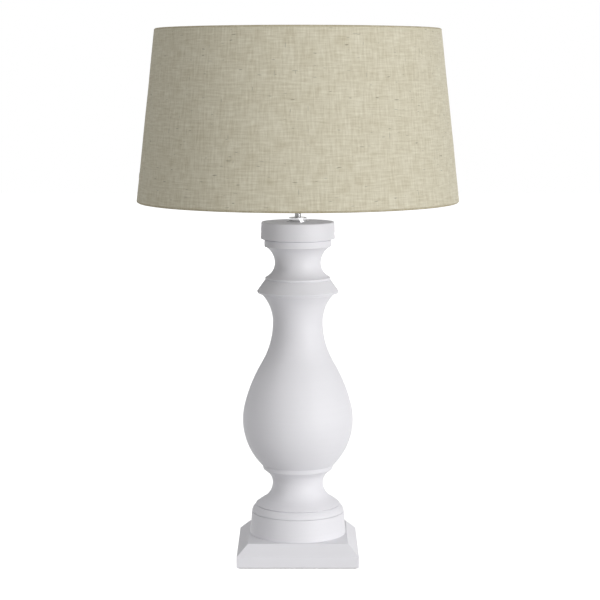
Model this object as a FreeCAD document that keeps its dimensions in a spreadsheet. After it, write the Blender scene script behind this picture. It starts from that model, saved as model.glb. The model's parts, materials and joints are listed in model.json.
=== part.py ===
"""Column table lamp: square plinth, turned column, lampholder, bulb and a tapered drum shade.

Millimetres, +Z up. The origin is under the middle of the plinth, at the level of the table.
-Y is the side that faces the room, +Y the side where the lead leaves.
"""
import FreeCAD, Part
import math
import os
import Sketcher

Vector = FreeCAD.Vector
Rotation = FreeCAD.Rotation

# --- driving dimensions ----------------------------------------------------------------
SIZES = {
    # felt and plinth
    "felt_thickness": 1.6,
    "felt_inset": 3.0,
    "plinth_width": 188.8,
    "plinth_top_width": 155.2,
    "plinth_side_height": 17.9,
    "plinth_bevel_height": 16.3,
    "plinth_arris": 0.6,
    "recess_radius": 23.0,
    "recess_depth": 17.0,
    # column, from the plinth upwards: how far out and how high each moulding is
    "tenon_radius": 25.0,
    "tenon_length": 6.0,
    "joiner_gap": 0.1,
    "foot_radius": 75.6,
    "foot_height": 34.6,
    "band_radius": 72.9,
    "quirk_depth": 0.8,
    "quirk_height": 1.4,
    "ovolo_foot_radius": 72.7,
    "ovolo_head_radius": 65.4,
    "ovolo_height": 10.0,
    "ovolo_swell": 1.4,
    "knee_radius": 66.4,
    "knee_height": 1.6,
    "knee_slope_height": 6.6,
    "scotia_foot_radius": 57.0,
    "scotia_lower_height": 27.0,
    "scotia_radius": 39.9,
    "scotia_upper_height": 18.6,
    "scotia_head_radius": 50.0,
    "ring_slope_height": 3.9,
    "ring_radius": 55.8,
    "ring_height": 6.0,
    "ring_quirk_height": 1.0,
    "vase_foot_radius": 57.6,
    "vase_lower_height": 71.4,
    "vase_radius": 86.8,
    "vase_upper_height": 154.5,
    "vase_shoulder_angle": 14.0,
    "vase_waist_angle": 30.7,
    "neck_radius": 39.2,
    "collar_hollow_height": 44.8,
    "collar_hollow_radius": 57.2,
    "collar_soffit_height": 1.3,
    "lip_lower_radius": 62.5,
    "lip_height": 3.0,
    "lip_radius": 63.9,
    "collar_slope_height": 18.2,
    "collar_neck_radius": 51.0,
    "collar_fillet_height": 3.4,
    "flare_height": 22.4,
    "upper_neck_radius": 36.2,
    "cove_height": 24.3,
    "cove_head_radius": 48.6,
    "bed_height": 1.8,
    "frieze_radius": 52.5,
    "frieze_height": 11.8,
    "cap_lower_radius": 58.2,
    "cap_radius": 56.9,
    "cap_height": 26.6,
    "cap_rounding": 2.0,
    "column_bore_radius": 5.6,
    # tie tube and what clamps the column
    "tube_radius": 5.0,
    "tube_bore_radius": 3.9,
    "tube_below_nut": 3.0,
    "thread_gap": 0.05,
    "bottom_washer_radius": 15.0,
    "bottom_washer_thickness": 2.0,
    "spring_washer_radius": 8.4,
    "spring_washer_thickness": 1.6,
    "spring_washer_slit": 1.2,
    "nut_across_flats": 14.0,
    "nut_thickness": 4.0,
    "nut_chamfer": 0.8,
    "neck_washer_radius": 17.5,
    "neck_washer_thickness": 2.0,
    "lock_ring_radius": 14.0,
    "lock_ring_thickness": 5.0,
    "lock_ring_chamfer": 0.5,
    # cable bush in the rear of the plinth
    "bush_axis_height": 10.6,
    "bush_bore_radius": 3.7,
    "bush_sleeve_radius": 4.8,
    "bush_sleeve_length": 12.0,
    "bush_flange_radius": 7.6,
    "bush_flange_thickness": 2.2,
    "bush_edge_rounding": 0.8,
    "channel_gap": 0.1,
    # lampholder, measured from the lower end of its neck
    "holder_lift": 30.6,
    "holder_neck_radius": 7.6,
    "holder_neck_height": 9.0,
    "holder_tube_engagement": 10.0,
    "holder_cup_radius": 19.8,
    "holder_cup_height": 24.0,
    "holder_wall": 1.6,
    "grub_radius": 1.5,
    "grub_hex_radius": 0.75,
    "grub_hex_depth": 1.2,
    "insert_radius": 17.2,
    "insert_foot_height": 19.5,
    "insert_base_thickness": 6.5,
    "insert_flange_radius": 18.6,
    "insert_flange_thickness": 1.6,
    "insert_well_wall": 2.4,
    "insert_rim_drop": 1.0,
    "sleeve_radius": 19.8,
    "sleeve_height": 33.0,
    "sleeve_wall": 1.1,
    "sleeve_lip": 1.6,
    "shell_radius": 14.6,
    "shell_wall": 0.4,
    "shell_foot_gap": 2.0,
    "shell_rim_drop": 2.0,
    "contact_width": 5.0,
    "contact_thickness": 0.5,
    "contact_reach": 7.0,
    "contact_rise": 4.0,
    "terminal_radius": 1.75,
    "terminal_head_radius": 3.0,
    "terminal_head_height": 1.8,
    "terminal_length": 5.0,
    "terminal_spread": 9.5,
    # shade rings on the lampholder's outer thread
    "shade_ring_radius": 28.0,
    "shade_ring_flange": 2.2,
    "shade_ring_hub_radius": 24.2,
    "shade_ring_height": 7.0,
    "shade_ring_drop": 8.0,
    # shade frame
    "fitter_bore_radius": 21.2,
    "fitter_radius": 31.0,
    "fitter_thickness": 1.8,
    "fitter_hoop_height": 5.0,
    "fitter_hoop_wall": 1.5,
    "fitter_clearance": 0.05,
    "arm_radius": 1.75,
    "arm_bend_radius": 14.0,
    "arm_leg_gap": 1.2,
    "wire_radius": 2.0,
    "shade_bottom_radius": 250.0,
    "shade_top_radius": 220.9,
    "shade_height": 266.6,
    "shade_below_fitter": 45.4,
    "lining_thickness": 0.8,
    "linen_thickness": 0.8,
    # bulb, measured from its tip contact
    "bulb_tip_radius": 4.6,
    "bulb_tip_height": 1.6,
    "bulb_insulator_radius": 9.6,
    "bulb_insulator_height": 4.4,
    "bulb_shell_radius": 13.1,
    "bulb_shell_height": 17.5,
    "bulb_shell_wall": 0.4,
    "bulb_cap_rim": 4.0,
    "bulb_radius": 30.0,
    "bulb_centre_height": 74.0,
    "glass_wall": 1.0,
    "stem_radius": 3.5,
    "stem_foot_land": 1.0,
    "stem_height": 26.0,
    "filament_radius": 0.9,
    "filament_length": 34.0,
    "filament_circle": 9.0,
    "filament_foot_rise": 2.0,
    "frame_wire_radius": 0.45,
    "frame_post_radius": 1.0,
}
ARM_COUNT = 3
FILAMENT_COUNT = 6
# Flat facets round each rolled edge, from the linen's outside to the lining.
ROLL_STEPS = 6

doc = FreeCAD.newDocument("column_table_lamp")
sheet = doc.addObject("Spreadsheet::Sheet", "Sizes")
worked_sheet = doc.addObject("Spreadsheet::Sheet", "Worked")
worked_values = {}


class Length:
    """A size as a formula over the sheet, together with the value that the formula has now."""

    def __init__(self, formula, number):
        self.formula = str(formula)
        self.number = float(number)

    def __add__(self, other):
        other = length(other)
        return Length(f"({self.formula} + {other.formula})", self.number + other.number)

    def __sub__(self, other):
        other = length(other)
        return Length(f"({self.formula} - {other.formula})", self.number - other.number)

    def __mul__(self, other):
        other = length(other)
        return Length(f"({self.formula} * {other.formula})", self.number * other.number)

    def __truediv__(self, other):
        other = length(other)
        return Length(f"({self.formula} / {other.formula})", self.number / other.number)

    def __radd__(self, other):
        return length(other) + self

    def __rsub__(self, other):
        return length(other) - self

    def __rmul__(self, other):
        return length(other) * self

    def __neg__(self):
        return length(0) - self


def length(value):
    """A plain number as a Length; a Length stays as it is."""
    return value if isinstance(value, Length) else Length(repr(float(value)), value)


def root(value):
    return Length(f"sqrt({value.formula})", math.sqrt(value.number))


def cosine(degrees):
    """The cosine of an angle in degrees."""
    degrees = length(degrees)
    return Length(f"cos({degrees.formula} * 1 deg)", math.cos(math.radians(degrees.number)))


def sine(degrees):
    """The sine of an angle in degrees."""
    degrees = length(degrees)
    return Length(f"sin({degrees.formula} * 1 deg)", math.sin(math.radians(degrees.number)))


def fill_sheet():
    """Write every driving dimension into its own cell, with its name as the cell's alias."""
    for row, (alias, value) in enumerate(SIZES.items(), start=1):
        sheet.set(f"A{row}", alias)
        sheet.set(f"B{row}", str(value))
        sheet.setAlias(f"B{row}", alias)
    doc.recompute()


def worked(alias, value):
    """Keep a worked-out length under a name of its own, in the second sheet."""
    value = length(value)
    cell = f"B{len(worked_values) + 1}"
    worked_sheet.set(cell, f"={value.formula}")
    worked_sheet.setAlias(cell, alias)
    worked_values[alias] = value.number
    return Length(f"Worked.{alias}", value.number)


class Named:
    """The driving dimensions as attributes, each a Length bound to its cell."""


fill_sheet()
S = Named()
for size_name, size_value in SIZES.items():
    setattr(S, size_name, Length(f"Sizes.{size_name}", size_value))


# --- building blocks --------------------------------------------------------------------
def bind(feature, **properties):
    """Tie each named property of a feature to the formula of a Length."""
    for name, value in properties.items():
        feature.setExpression(name, length(value).formula)


def new_body(label):
    body = doc.addObject("PartDesign::Body", label)
    body.Label = label
    return body


def plane_of(body, role):
    return next(f for f in body.Origin.OriginFeatures if f.Role == role)


def new_sketch(body, name, role, offset=None):
    """An empty sketch on one of the body's own origin planes, moved along its normal by offset."""
    sketch = body.newObject("Sketcher::SketchObject", name)
    sketch.AttachmentSupport = [(plane_of(body, role), "")]
    sketch.MapMode = "FlatFace"
    if offset is not None:
        sketch.setExpression("AttachmentOffset.Base.z", length(offset).formula)
    return sketch


def fix_point(sketch, geometry, end, x, y):
    """Hold one end of a sketch element at x, y, both given as sizes."""
    for kind, along, value, axis in (("DistanceX", 1, x, -2), ("DistanceY", 0, y, -1)):
        value = length(value)
        if abs(value.number) < 1e-9:
            sketch.addConstraint(Sketcher.Constraint("PointOnObject", geometry, end, axis))
            continue
        index = sketch.addConstraint(Sketcher.Constraint(kind, -1, 1, geometry, end, value.number))
        sketch.setExpression(f"Constraints[{index}]", value.formula)


def flat_vector(point):
    return Vector(length(point[0]).number, length(point[1]).number, 0)


def draw_loop(sketch, points, arcs=None, closed=True):
    """Draw lines through the points; arcs maps a point's index to a point that its arc passes."""
    arcs = arcs or {}
    count = len(points)
    ends = []
    for i in range(count if closed else count - 1):
        start, finish = flat_vector(points[i]), flat_vector(points[(i + 1) % count])
        if i in arcs:
            geometry = sketch.addGeometry(Part.Arc(start, flat_vector(arcs[i]), finish))
            through = sketch.addGeometry(Part.Point(flat_vector(arcs[i])), True)
            first = 1 if (sketch.getPoint(geometry, 1) - start).Length < 1e-6 else 2
            ends.append((geometry, first, 3 - first, through, arcs[i]))
        else:
            geometry = sketch.addGeometry(Part.LineSegment(start, finish))
            ends.append((geometry, 1, 2, None, None))
    for i, (geometry, first, last, through, via) in enumerate(ends):
        fix_point(sketch, geometry, first, *points[i])
        if through is not None:
            fix_point(sketch, through, 1, *via)
            sketch.addConstraint(Sketcher.Constraint("PointOnObject", through, 1, geometry))
        if closed or i + 1 < len(ends):
            following = ends[(i + 1) % len(ends)]
            joint = Sketcher.Constraint("Coincident", geometry, last, following[0], following[1])
            sketch.addConstraint(joint)
    if not closed:
        geometry, first, last = ends[-1][:3]
        fix_point(sketch, geometry, last, *points[-1])


def draw_circle(sketch, x, y, radius):
    radius = length(radius)
    circle = Part.Circle(flat_vector((x, y)), Vector(0, 0, 1), radius.number)
    geometry = sketch.addGeometry(circle)
    fix_point(sketch, geometry, 3, x, y)
    index = sketch.addConstraint(Sketcher.Constraint("Radius", geometry, radius.number))
    sketch.setExpression(f"Constraints[{index}]", radius.formula)


def draw_rectangle(sketch, left, low, right, high):
    draw_loop(sketch, [(left, low), (right, low), (right, high), (left, high)])


def draw_square(sketch, width):
    half = length(width) / 2
    draw_rectangle(sketch, -half, -half, half, half)


def draw_hexagon(sketch, across_flats):
    corner = length(across_flats) / 2 / cosine(30)
    points = [(corner * cosine(60 * i), corner * sine(60 * i)) for i in range(6)]
    draw_loop(sketch, points)


def revolve(body, name, points, arcs=None, cut=False):
    """Turn a closed profile, given as radius and height, about the body's Z axis."""
    sketch = new_sketch(body, name + "_profile", "XZ_Plane")
    draw_loop(sketch, points, arcs)
    kind = "PartDesign::Groove" if cut else "PartDesign::Revolution"
    feature = body.newObject(kind, name)
    feature.Profile = sketch
    feature.ReferenceAxis = (sketch, ["V_Axis"])
    feature.Angle = 360
    return feature


def pad(body, sketch, name, height):
    feature = body.newObject("PartDesign::Pad", name)
    feature.Profile = sketch
    bind(feature, Length=height)
    return feature


def pocket(body, sketch, name, depth, reverse=False):
    """Cut a sketch into the body; checked afterwards, because a pocket can point into the air."""
    doc.recompute()
    before = body.Shape.Volume
    feature = body.newObject("PartDesign::Pocket", name)
    feature.Profile = sketch
    feature.Reversed = reverse
    bind(feature, Length=depth)
    doc.recompute()
    if body.Shape.Volume > before - 1e-3:
        raise RuntimeError(f"{body.Label}: {name} cut nothing")
    return feature


def loft(body, sections, name):
    feature = body.newObject("PartDesign::AdditiveLoft", name)
    feature.Profile = sections[0]
    feature.Sections = sections[1:]
    feature.Ruled = True
    return feature


def place(body, x=0, y=0, z=0, axis=None, degrees=0):
    """Stand a finished body in the lamp: turned about an axis first, then moved."""
    if axis is not None:
        body.Placement = FreeCAD.Placement(Vector(0, 0, 0), Rotation(Vector(*axis), degrees))
    for name, value in (("x", x), ("y", y), ("z", z)):
        body.setExpression(f"Placement.Base.{name}", length(value).formula)


def plain_ring(label, outer, bore, thickness, base):
    """A flat ring, such as a washer, with its lower face at base."""
    body = new_body(label)
    sketch = new_sketch(body, label + "_outline", "XY_Plane")
    draw_circle(sketch, 0, 0, outer)
    draw_circle(sketch, 0, 0, bore)
    pad(body, sketch, label + "_pad", thickness)
    place(body, z=base)
    return body


def upright_arc_radius(from_radius, from_height, to_radius, to_height):
    """Radius of the arc that leaves one point upright and passes another point."""
    out, up = to_radius - from_radius, to_height - from_height
    return (out * out + up * up) / (out * 2)


def upright_arc_middle(from_radius, from_height, to_radius, to_height):
    """A point half way along the arc that leaves the first point upright and ends at the second."""
    bend = upright_arc_radius(from_radius, from_height, to_radius, to_height)
    centre = from_radius + bend
    middle_radius = (from_radius + to_radius) / 2 - centre
    middle_height = (to_height - from_height) / 2
    reach = root(middle_radius * middle_radius + middle_height * middle_height)
    size = root(bend * bend)
    return centre + middle_radius * size / reach, from_height + middle_height * size / reach


# --- levels shared by several pieces ----------------------------------------------------
COLUMN_MOULDINGS = (
    "foot", "quirk", "ovolo", "knee", "knee_slope", "scotia_lower", "scotia_upper",
    "ring_slope", "ring", "ring_quirk", "vase_lower", "vase_upper", "collar_hollow",
    "collar_soffit", "lip", "collar_slope", "collar_fillet", "flare", "cove", "bed",
    "frieze", "cap",
)


def stack_column():
    """Height of each moulding's upper edge above the plinth's top."""
    heads = {}
    head = length(0)
    for moulding in COLUMN_MOULDINGS:
        head = worked(f"{moulding}_head", head + getattr(S, f"{moulding}_height"))
        heads[moulding] = head
    return heads


HEAD = stack_column()
PLINTH_HEIGHT = worked("plinth_height", S.plinth_side_height + S.plinth_bevel_height)
PLINTH_BOTTOM = S.felt_thickness
PLINTH_TOP = worked("plinth_top", PLINTH_BOTTOM + PLINTH_HEIGHT)
RECESS_TOP = worked("recess_top", PLINTH_BOTTOM + S.recess_depth)
BOTTOM_WASHER_BASE = worked("bottom_washer_base", RECESS_TOP - S.bottom_washer_thickness)
SPRING_WASHER_BASE = worked(
    "spring_washer_base", BOTTOM_WASHER_BASE - S.spring_washer_thickness
)
NUT_BASE = worked("nut_base", SPRING_WASHER_BASE - S.nut_thickness)
COLUMN_TOP = worked("column_top", PLINTH_TOP + HEAD["cap"])
LOCK_RING_BASE = worked("lock_ring_base", COLUMN_TOP + S.neck_washer_thickness)
HOLDER_BASE = worked("holder_base", LOCK_RING_BASE + S.lock_ring_thickness + S.holder_lift)
TUBE_FOOT = worked("tube_foot", NUT_BASE - S.tube_below_nut)
TUBE_TOP = worked("tube_top", HOLDER_BASE + S.holder_tube_engagement)
INSERT_BASE = worked("insert_base", HOLDER_BASE + S.insert_foot_height)
WELL_FLOOR = worked("well_floor", INSERT_BASE + S.insert_base_thickness)
SLEEVE_BASE = worked("sleeve_base", HOLDER_BASE + S.holder_cup_height)
SLEEVE_TOP = worked("sleeve_top", SLEEVE_BASE + S.sleeve_height)
THREAD_BORE = worked("thread_bore", S.tube_radius + S.thread_gap)
WASHER_BORE = worked("washer_bore", S.tube_radius + S.joiner_gap)
RING_BORE = worked("ring_bore", S.sleeve_radius + S.thread_gap)
LOWER_RING_BASE = worked("lower_ring_base", SLEEVE_BASE + S.shade_ring_drop)
FITTER_BASE = worked("fitter_base", LOWER_RING_BASE + S.shade_ring_height)
FITTER_TOP = worked("fitter_top", FITTER_BASE + S.fitter_thickness)
UPPER_RING_BASE = worked("upper_ring_base", FITTER_TOP + S.fitter_clearance)
BULB_BASE = worked("bulb_base", WELL_FLOOR + S.contact_rise + S.contact_thickness)
SHADE_BOTTOM = worked("shade_bottom", FITTER_BASE - S.shade_below_fitter)
SHADE_TOP = worked("shade_top", SHADE_BOTTOM + S.shade_height)
ROLL_RADIUS = worked("roll_radius", S.wire_radius + S.linen_thickness)


# --- plinth ------------------------------------------------------------------------------
def make_felt_pad():
    body = new_body("felt_pad")
    sketch = new_sketch(body, "felt_outline", "XY_Plane")
    draw_square(sketch, S.plinth_width - S.felt_inset * 2)
    pad(body, sketch, "felt_sheet", S.felt_thickness)
    return body


def make_plinth():
    """Square block with a mitred bevel, a nut recess below and a socket for the column above."""
    body = new_body("plinth")
    arris_foot = new_sketch(body, "arris_foot", "XY_Plane")
    draw_square(arris_foot, S.plinth_width - S.plinth_arris * 2)
    arris_head = new_sketch(body, "arris_head", "XY_Plane", S.plinth_arris)
    draw_square(arris_head, S.plinth_width)
    side_head = new_sketch(body, "side_head", "XY_Plane", S.plinth_side_height)
    draw_square(side_head, S.plinth_width)
    bevel_head = new_sketch(body, "bevel_head", "XY_Plane", PLINTH_HEIGHT)
    draw_square(bevel_head, S.plinth_top_width)
    loft(body, [arris_foot, arris_head, side_head, bevel_head], "block")

    recess = new_sketch(body, "recess_outline", "XY_Plane")
    draw_circle(recess, 0, 0, S.recess_radius)
    pocket(body, recess, "recess", S.recess_depth, reverse=True)

    socket = new_sketch(body, "socket_outline", "XY_Plane", PLINTH_HEIGHT)
    draw_circle(socket, 0, 0, S.tenon_radius + S.joiner_gap)
    pocket(body, socket, "socket", S.tenon_length + S.joiner_gap)

    bore = new_sketch(body, "bore_outline", "XY_Plane", PLINTH_HEIGHT)
    draw_circle(bore, 0, 0, S.column_bore_radius)
    pocket(body, bore, "tube_bore", PLINTH_HEIGHT)

    channel = new_sketch(body, "channel_outline", "XZ_Plane")
    draw_circle(channel, 0, S.bush_axis_height - S.felt_thickness, S.bush_sleeve_radius + S.channel_gap)
    pocket(body, channel, "cable_channel", S.plinth_width / 2)
    place(body, z=PLINTH_BOTTOM)
    return body


def make_cable_bush():
    """Flanged sleeve that lines the hole where the lead leaves the plinth."""
    body = new_body("cable_bush")
    rounding = S.bush_edge_rounding
    flange = S.bush_flange_thickness
    corner = (1 - cosine(45))
    points = [
        (S.bush_bore_radius, -S.bush_sleeve_length),
        (S.bush_sleeve_radius, -S.bush_sleeve_length),
        (S.bush_sleeve_radius, 0),
        (S.bush_flange_radius, 0),
        (S.bush_flange_radius, flange - rounding),
        (S.bush_flange_radius - rounding, flange),
        (S.bush_bore_radius, flange),
    ]
    around = (S.bush_flange_radius - rounding * corner, flange - rounding * corner)
    revolve(body, "bush_turning", points, {4: around})
    place(body, y=S.plinth_width / 2, z=S.bush_axis_height, axis=(1, 0, 0), degrees=-90)
    return body


# --- column ------------------------------------------------------------------------------
def vase_curves():
    """Radii of the two upper arcs of the vase: the waist below the neck, and the shoulder.

    The belly's arc stands upright at the widest level and ends at the vase's foot. The shoulder's
    and the waist's arcs continue it without a corner up to the neck, which is upright again.
    """
    out = S.vase_radius - S.neck_radius
    up = S.vase_upper_height
    belly = worked(
        "belly_curve",
        upright_arc_radius(S.vase_foot_radius, 0, S.vase_radius, S.vase_lower_height),
    )
    cos_a, sin_a = cosine(S.vase_shoulder_angle), sine(S.vase_shoulder_angle)
    cos_b, sin_b = cosine(S.vase_waist_angle), sine(S.vase_waist_angle)
    out_left = worked("vase_out_left", out - belly * (1 - cos_a))
    up_left = worked("vase_up_left", up - belly * sin_a)
    spread = worked("vase_spread", (1 - cos_b) * (sin_b - sin_a) - (cos_a - cos_b) * sin_b)
    waist = (out_left * (sin_b - sin_a) - (cos_a - cos_b) * up_left) / spread
    shoulder = ((1 - cos_b) * up_left - sin_b * out_left) / spread
    return belly, worked("shoulder_curve", shoulder), worked("waist_curve", waist)


def column_profile():
    """Points and arcs of the turned column, as radius and height above the plinth's top."""
    points = []
    arcs = {}

    def corner(radius, height, through=None):
        """Add a corner; through is a point of the arc that leads on to the next corner."""
        if through is not None:
            arcs[len(points)] = through
        points.append((radius, height))

    foot_top, quirk_top, ovolo_top = HEAD["foot"], HEAD["quirk"], HEAD["ovolo"]
    scotia_foot, scotia_middle = HEAD["knee_slope"], HEAD["scotia_lower"]
    scotia_head, ring_foot, ring_head = HEAD["scotia_upper"], HEAD["ring_slope"], HEAD["ring"]
    vase_foot, belly_level, neck_level = HEAD["ring_quirk"], HEAD["vase_lower"], HEAD["vase_upper"]
    hollow_head, fillet_head = HEAD["collar_hollow"], HEAD["collar_fillet"]
    waist_level, cove_head, frieze_head = HEAD["flare"], HEAD["cove"], HEAD["frieze"]
    top = HEAD["cap"]

    corner(S.column_bore_radius, -S.tenon_length)
    corner(S.tenon_radius, -S.tenon_length)
    corner(S.tenon_radius, 0)
    corner(S.foot_radius, 0)
    corner(S.band_radius, foot_top)
    corner(S.band_radius - S.quirk_depth, foot_top + S.quirk_height / 4)
    corner(S.band_radius - S.quirk_depth, quirk_top - S.quirk_height / 4)
    swell = S.ovolo_swell * cosine(45)
    middle = (
        (S.ovolo_foot_radius + S.ovolo_head_radius) / 2 + swell,
        (quirk_top + ovolo_top) / 2 + swell,
    )
    corner(S.ovolo_foot_radius, quirk_top, middle)
    corner(S.ovolo_head_radius, ovolo_top)
    corner(S.knee_radius, HEAD["knee"])
    lower = upright_arc_middle(S.scotia_radius, scotia_middle, S.scotia_foot_radius, scotia_foot)
    corner(S.scotia_foot_radius, scotia_foot, lower)
    upper = upright_arc_middle(S.scotia_radius, scotia_middle, S.scotia_head_radius, scotia_head)
    corner(S.scotia_radius, scotia_middle, upper)
    corner(S.scotia_head_radius, scotia_head)
    corner(S.ring_radius - S.ring_quirk_height, ring_foot)
    corner(S.ring_radius, ring_head)
    corner(S.ring_radius, vase_foot)

    belly, shoulder, waist = vase_curves()
    half_lower = upright_arc_middle(S.vase_radius, belly_level, S.vase_foot_radius, vase_foot)
    corner(S.vase_foot_radius, vase_foot, half_lower)
    centre = S.vase_radius - belly
    angle_a, angle_b = S.vase_shoulder_angle, S.vase_waist_angle
    half_a = angle_a / 2
    corner(
        S.vase_radius, belly_level,
        (centre + belly * cosine(half_a), belly_level + belly * sine(half_a)),
    )
    shoulder_foot = (centre + belly * cosine(angle_a), belly_level + belly * sine(angle_a))
    mean = (angle_a + angle_b) / 2
    corner(
        *shoulder_foot,
        (
            shoulder_foot[0] - shoulder * (cosine(angle_a) - cosine(mean)),
            shoulder_foot[1] + shoulder * (sine(mean) - sine(angle_a)),
        ),
    )
    half_b = angle_b / 2
    corner(
        S.neck_radius + waist * (1 - cosine(angle_b)), neck_level - waist * sine(angle_b),
        (S.neck_radius + waist * (1 - cosine(half_b)), neck_level - waist * sine(half_b)),
    )
    hollow = upright_arc_middle(S.neck_radius, neck_level, S.collar_hollow_radius, hollow_head)
    corner(S.neck_radius, neck_level, hollow)
    corner(S.collar_hollow_radius, hollow_head)
    corner(S.lip_lower_radius, HEAD["collar_soffit"])
    corner(S.lip_radius, HEAD["lip"])
    corner(S.collar_neck_radius, HEAD["collar_slope"])
    flare = upright_arc_middle(S.upper_neck_radius, waist_level, S.collar_neck_radius, fillet_head)
    corner(S.collar_neck_radius, fillet_head, flare)
    cove = upright_arc_middle(S.upper_neck_radius, waist_level, S.cove_head_radius, cove_head)
    corner(S.upper_neck_radius, waist_level, cove)
    corner(S.cove_head_radius, cove_head)
    corner(S.frieze_radius, HEAD["bed"])
    corner(S.frieze_radius, frieze_head)
    corner(S.cap_lower_radius, frieze_head)
    inset = S.cap_rounding * (1 - cosine(45))
    corner(S.cap_radius, top - S.cap_rounding, (S.cap_radius - inset, top - inset))
    corner(S.cap_radius - S.cap_rounding, top)
    corner(S.column_bore_radius, top)
    return points, arcs


def make_column():
    body = new_body("column")
    points, arcs = column_profile()
    revolve(body, "column_turning", points, arcs)
    place(body, z=PLINTH_TOP)
    return body


# --- tie tube and its fasteners ----------------------------------------------------------
def make_tie_tube():
    span = TUBE_TOP - TUBE_FOOT
    return plain_ring("tie_tube", S.tube_radius, S.tube_bore_radius, span, TUBE_FOOT)


def make_spring_washer():
    """Split ring: one slit, cut from the bore outwards."""
    body = plain_ring(
        "spring_washer", S.spring_washer_radius, WASHER_BORE,
        S.spring_washer_thickness, SPRING_WASHER_BASE,
    )
    slit = new_sketch(body, "slit_outline", "XY_Plane")
    half = S.spring_washer_slit / 2
    draw_rectangle(slit, -half, S.tube_radius / 2, half, S.spring_washer_radius * 1.5)
    pocket(body, slit, "slit", S.spring_washer_thickness, reverse=True)
    return body


def make_bottom_nut():
    """Low hexagon nut with a chamfered lower face."""
    body = new_body("bottom_nut")
    outline = new_sketch(body, "nut_outline", "XY_Plane")
    draw_hexagon(outline, S.nut_across_flats)
    draw_circle(outline, 0, 0, THREAD_BORE)
    pad(body, outline, "nut_pad", S.nut_thickness)
    corner = S.nut_across_flats / 2 / cosine(30)
    flat = S.nut_across_flats / 2
    rise = (corner - flat) * S.nut_chamfer
    points = [(flat, 0), (corner + flat, 0), (corner + flat, rise), (corner, rise)]
    doc.recompute()
    before = body.Shape.Volume
    revolve(body, "nut_chamfering", points, cut=True)
    doc.recompute()
    if body.Shape.Volume >= before:
        raise RuntimeError("bottom_nut: the chamfer cut nothing")
    place(body, z=NUT_BASE)
    return body


def make_lock_ring():
    """Round threaded ring with both edges broken, on the neck washer."""
    body = new_body("lock_ring")
    radius, bore = S.lock_ring_radius, THREAD_BORE
    top, edge = S.lock_ring_thickness, S.lock_ring_chamfer
    points = [
        (bore, 0), (radius - edge, 0), (radius, edge),
        (radius, top - edge), (radius - edge, top), (bore, top),
    ]
    revolve(body, "lock_ring_turning", points)
    place(body, z=LOCK_RING_BASE)
    return body


def make_tie_hardware():
    make_tie_tube()
    plain_ring(
        "bottom_washer", S.bottom_washer_radius, WASHER_BORE,
        S.bottom_washer_thickness, BOTTOM_WASHER_BASE,
    )
    make_spring_washer()
    make_bottom_nut()
    plain_ring(
        "neck_washer", S.neck_washer_radius, WASHER_BORE,
        S.neck_washer_thickness, COLUMN_TOP,
    )
    make_lock_ring()


# --- lampholder --------------------------------------------------------------------------
def make_holder_cup():
    """Turned metal cup: threaded neck, curved shoulder, straight skirt, open at the top."""
    body = new_body("holder_cup")
    neck, cup, wall = S.holder_neck_radius, S.holder_cup_radius, S.holder_wall
    neck_top = S.holder_neck_height
    shoulder_top = neck_top + cup - neck
    bore = THREAD_BORE
    outer_turn = upright_arc_middle(cup, shoulder_top, neck, neck_top)
    inner_turn = upright_arc_middle(cup - wall, shoulder_top, neck, neck_top + wall)
    points = [
        (bore, 0), (neck, 0), (neck, neck_top), (cup, shoulder_top),
        (cup, S.holder_cup_height), (cup - wall, S.holder_cup_height),
        (cup - wall, shoulder_top), (neck, neck_top + wall), (bore, neck_top + wall),
    ]
    revolve(body, "cup_turning", points, {2: outer_turn, 6: inner_turn})
    hole = new_sketch(body, "grub_hole_outline", "XZ_Plane")
    draw_circle(hole, 0, neck_top / 2, S.grub_radius)
    pocket(body, hole, "grub_hole", neck * 2)
    place(body, z=HOLDER_BASE)
    return body


def make_grub_screw():
    """Set screw that bears on the tube from behind, with a hexagon socket."""
    body = new_body("grub_screw")
    outline = new_sketch(body, "grub_outline", "XY_Plane")
    draw_circle(outline, 0, 0, S.grub_radius)
    reach = S.holder_neck_radius - S.tube_radius
    pad(body, outline, "grub_shank", reach)
    key = new_sketch(body, "key_outline", "XY_Plane", reach)
    draw_hexagon(key, S.grub_hex_radius * 2)
    pocket(body, key, "key_socket", S.grub_hex_depth)
    place(
        body, y=S.tube_radius, z=HOLDER_BASE + S.holder_neck_height / 2,
        axis=(1, 0, 0), degrees=-90,
    )
    return body


def make_holder_insert():
    """White insulating insert: its flange sits on the cup's edge, its well holds the shell."""
    body = new_body("holder_insert")
    well = S.shell_radius + S.joiner_gap
    wall = well + S.insert_well_wall
    rim = SLEEVE_TOP - S.sleeve_lip - S.insert_rim_drop - INSERT_BASE
    floor = S.insert_base_thickness
    flange = SLEEVE_BASE - INSERT_BASE
    flange_top = flange + S.insert_flange_thickness
    wire_hole = S.bulb_tip_radius / 2
    points = [
        (wire_hole, 0), (S.insert_radius, 0), (S.insert_radius, flange),
        (S.insert_flange_radius, flange), (S.insert_flange_radius, flange_top),
        (wall, flange_top), (wall, rim), (well, rim), (well, floor), (wire_hole, floor),
    ]
    revolve(body, "insert_moulding", points)
    seats = new_sketch(body, "terminal_seats", "XY_Plane")
    for side in (-1, 1):
        draw_circle(seats, S.terminal_spread * side, 0, S.terminal_radius + S.joiner_gap)
    pocket(body, seats, "terminal_holes", S.terminal_length, reverse=True)
    place(body, z=INSERT_BASE)
    return body


def make_screw_shell():
    """Thin shell that the bulb screws into, with a flat foot on the well's floor."""
    body = new_body("screw_shell")
    outer, wall = S.shell_radius, S.shell_wall
    foot = outer - S.shell_foot_gap
    rim = SLEEVE_TOP - S.sleeve_lip - S.shell_rim_drop - WELL_FLOOR
    points = [
        (foot, 0), (outer, 0), (outer, rim), (outer - wall, rim),
        (outer - wall, wall), (foot, wall),
    ]
    revolve(body, "shell_drawing", points)
    place(body, z=WELL_FLOOR)
    return body


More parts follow.
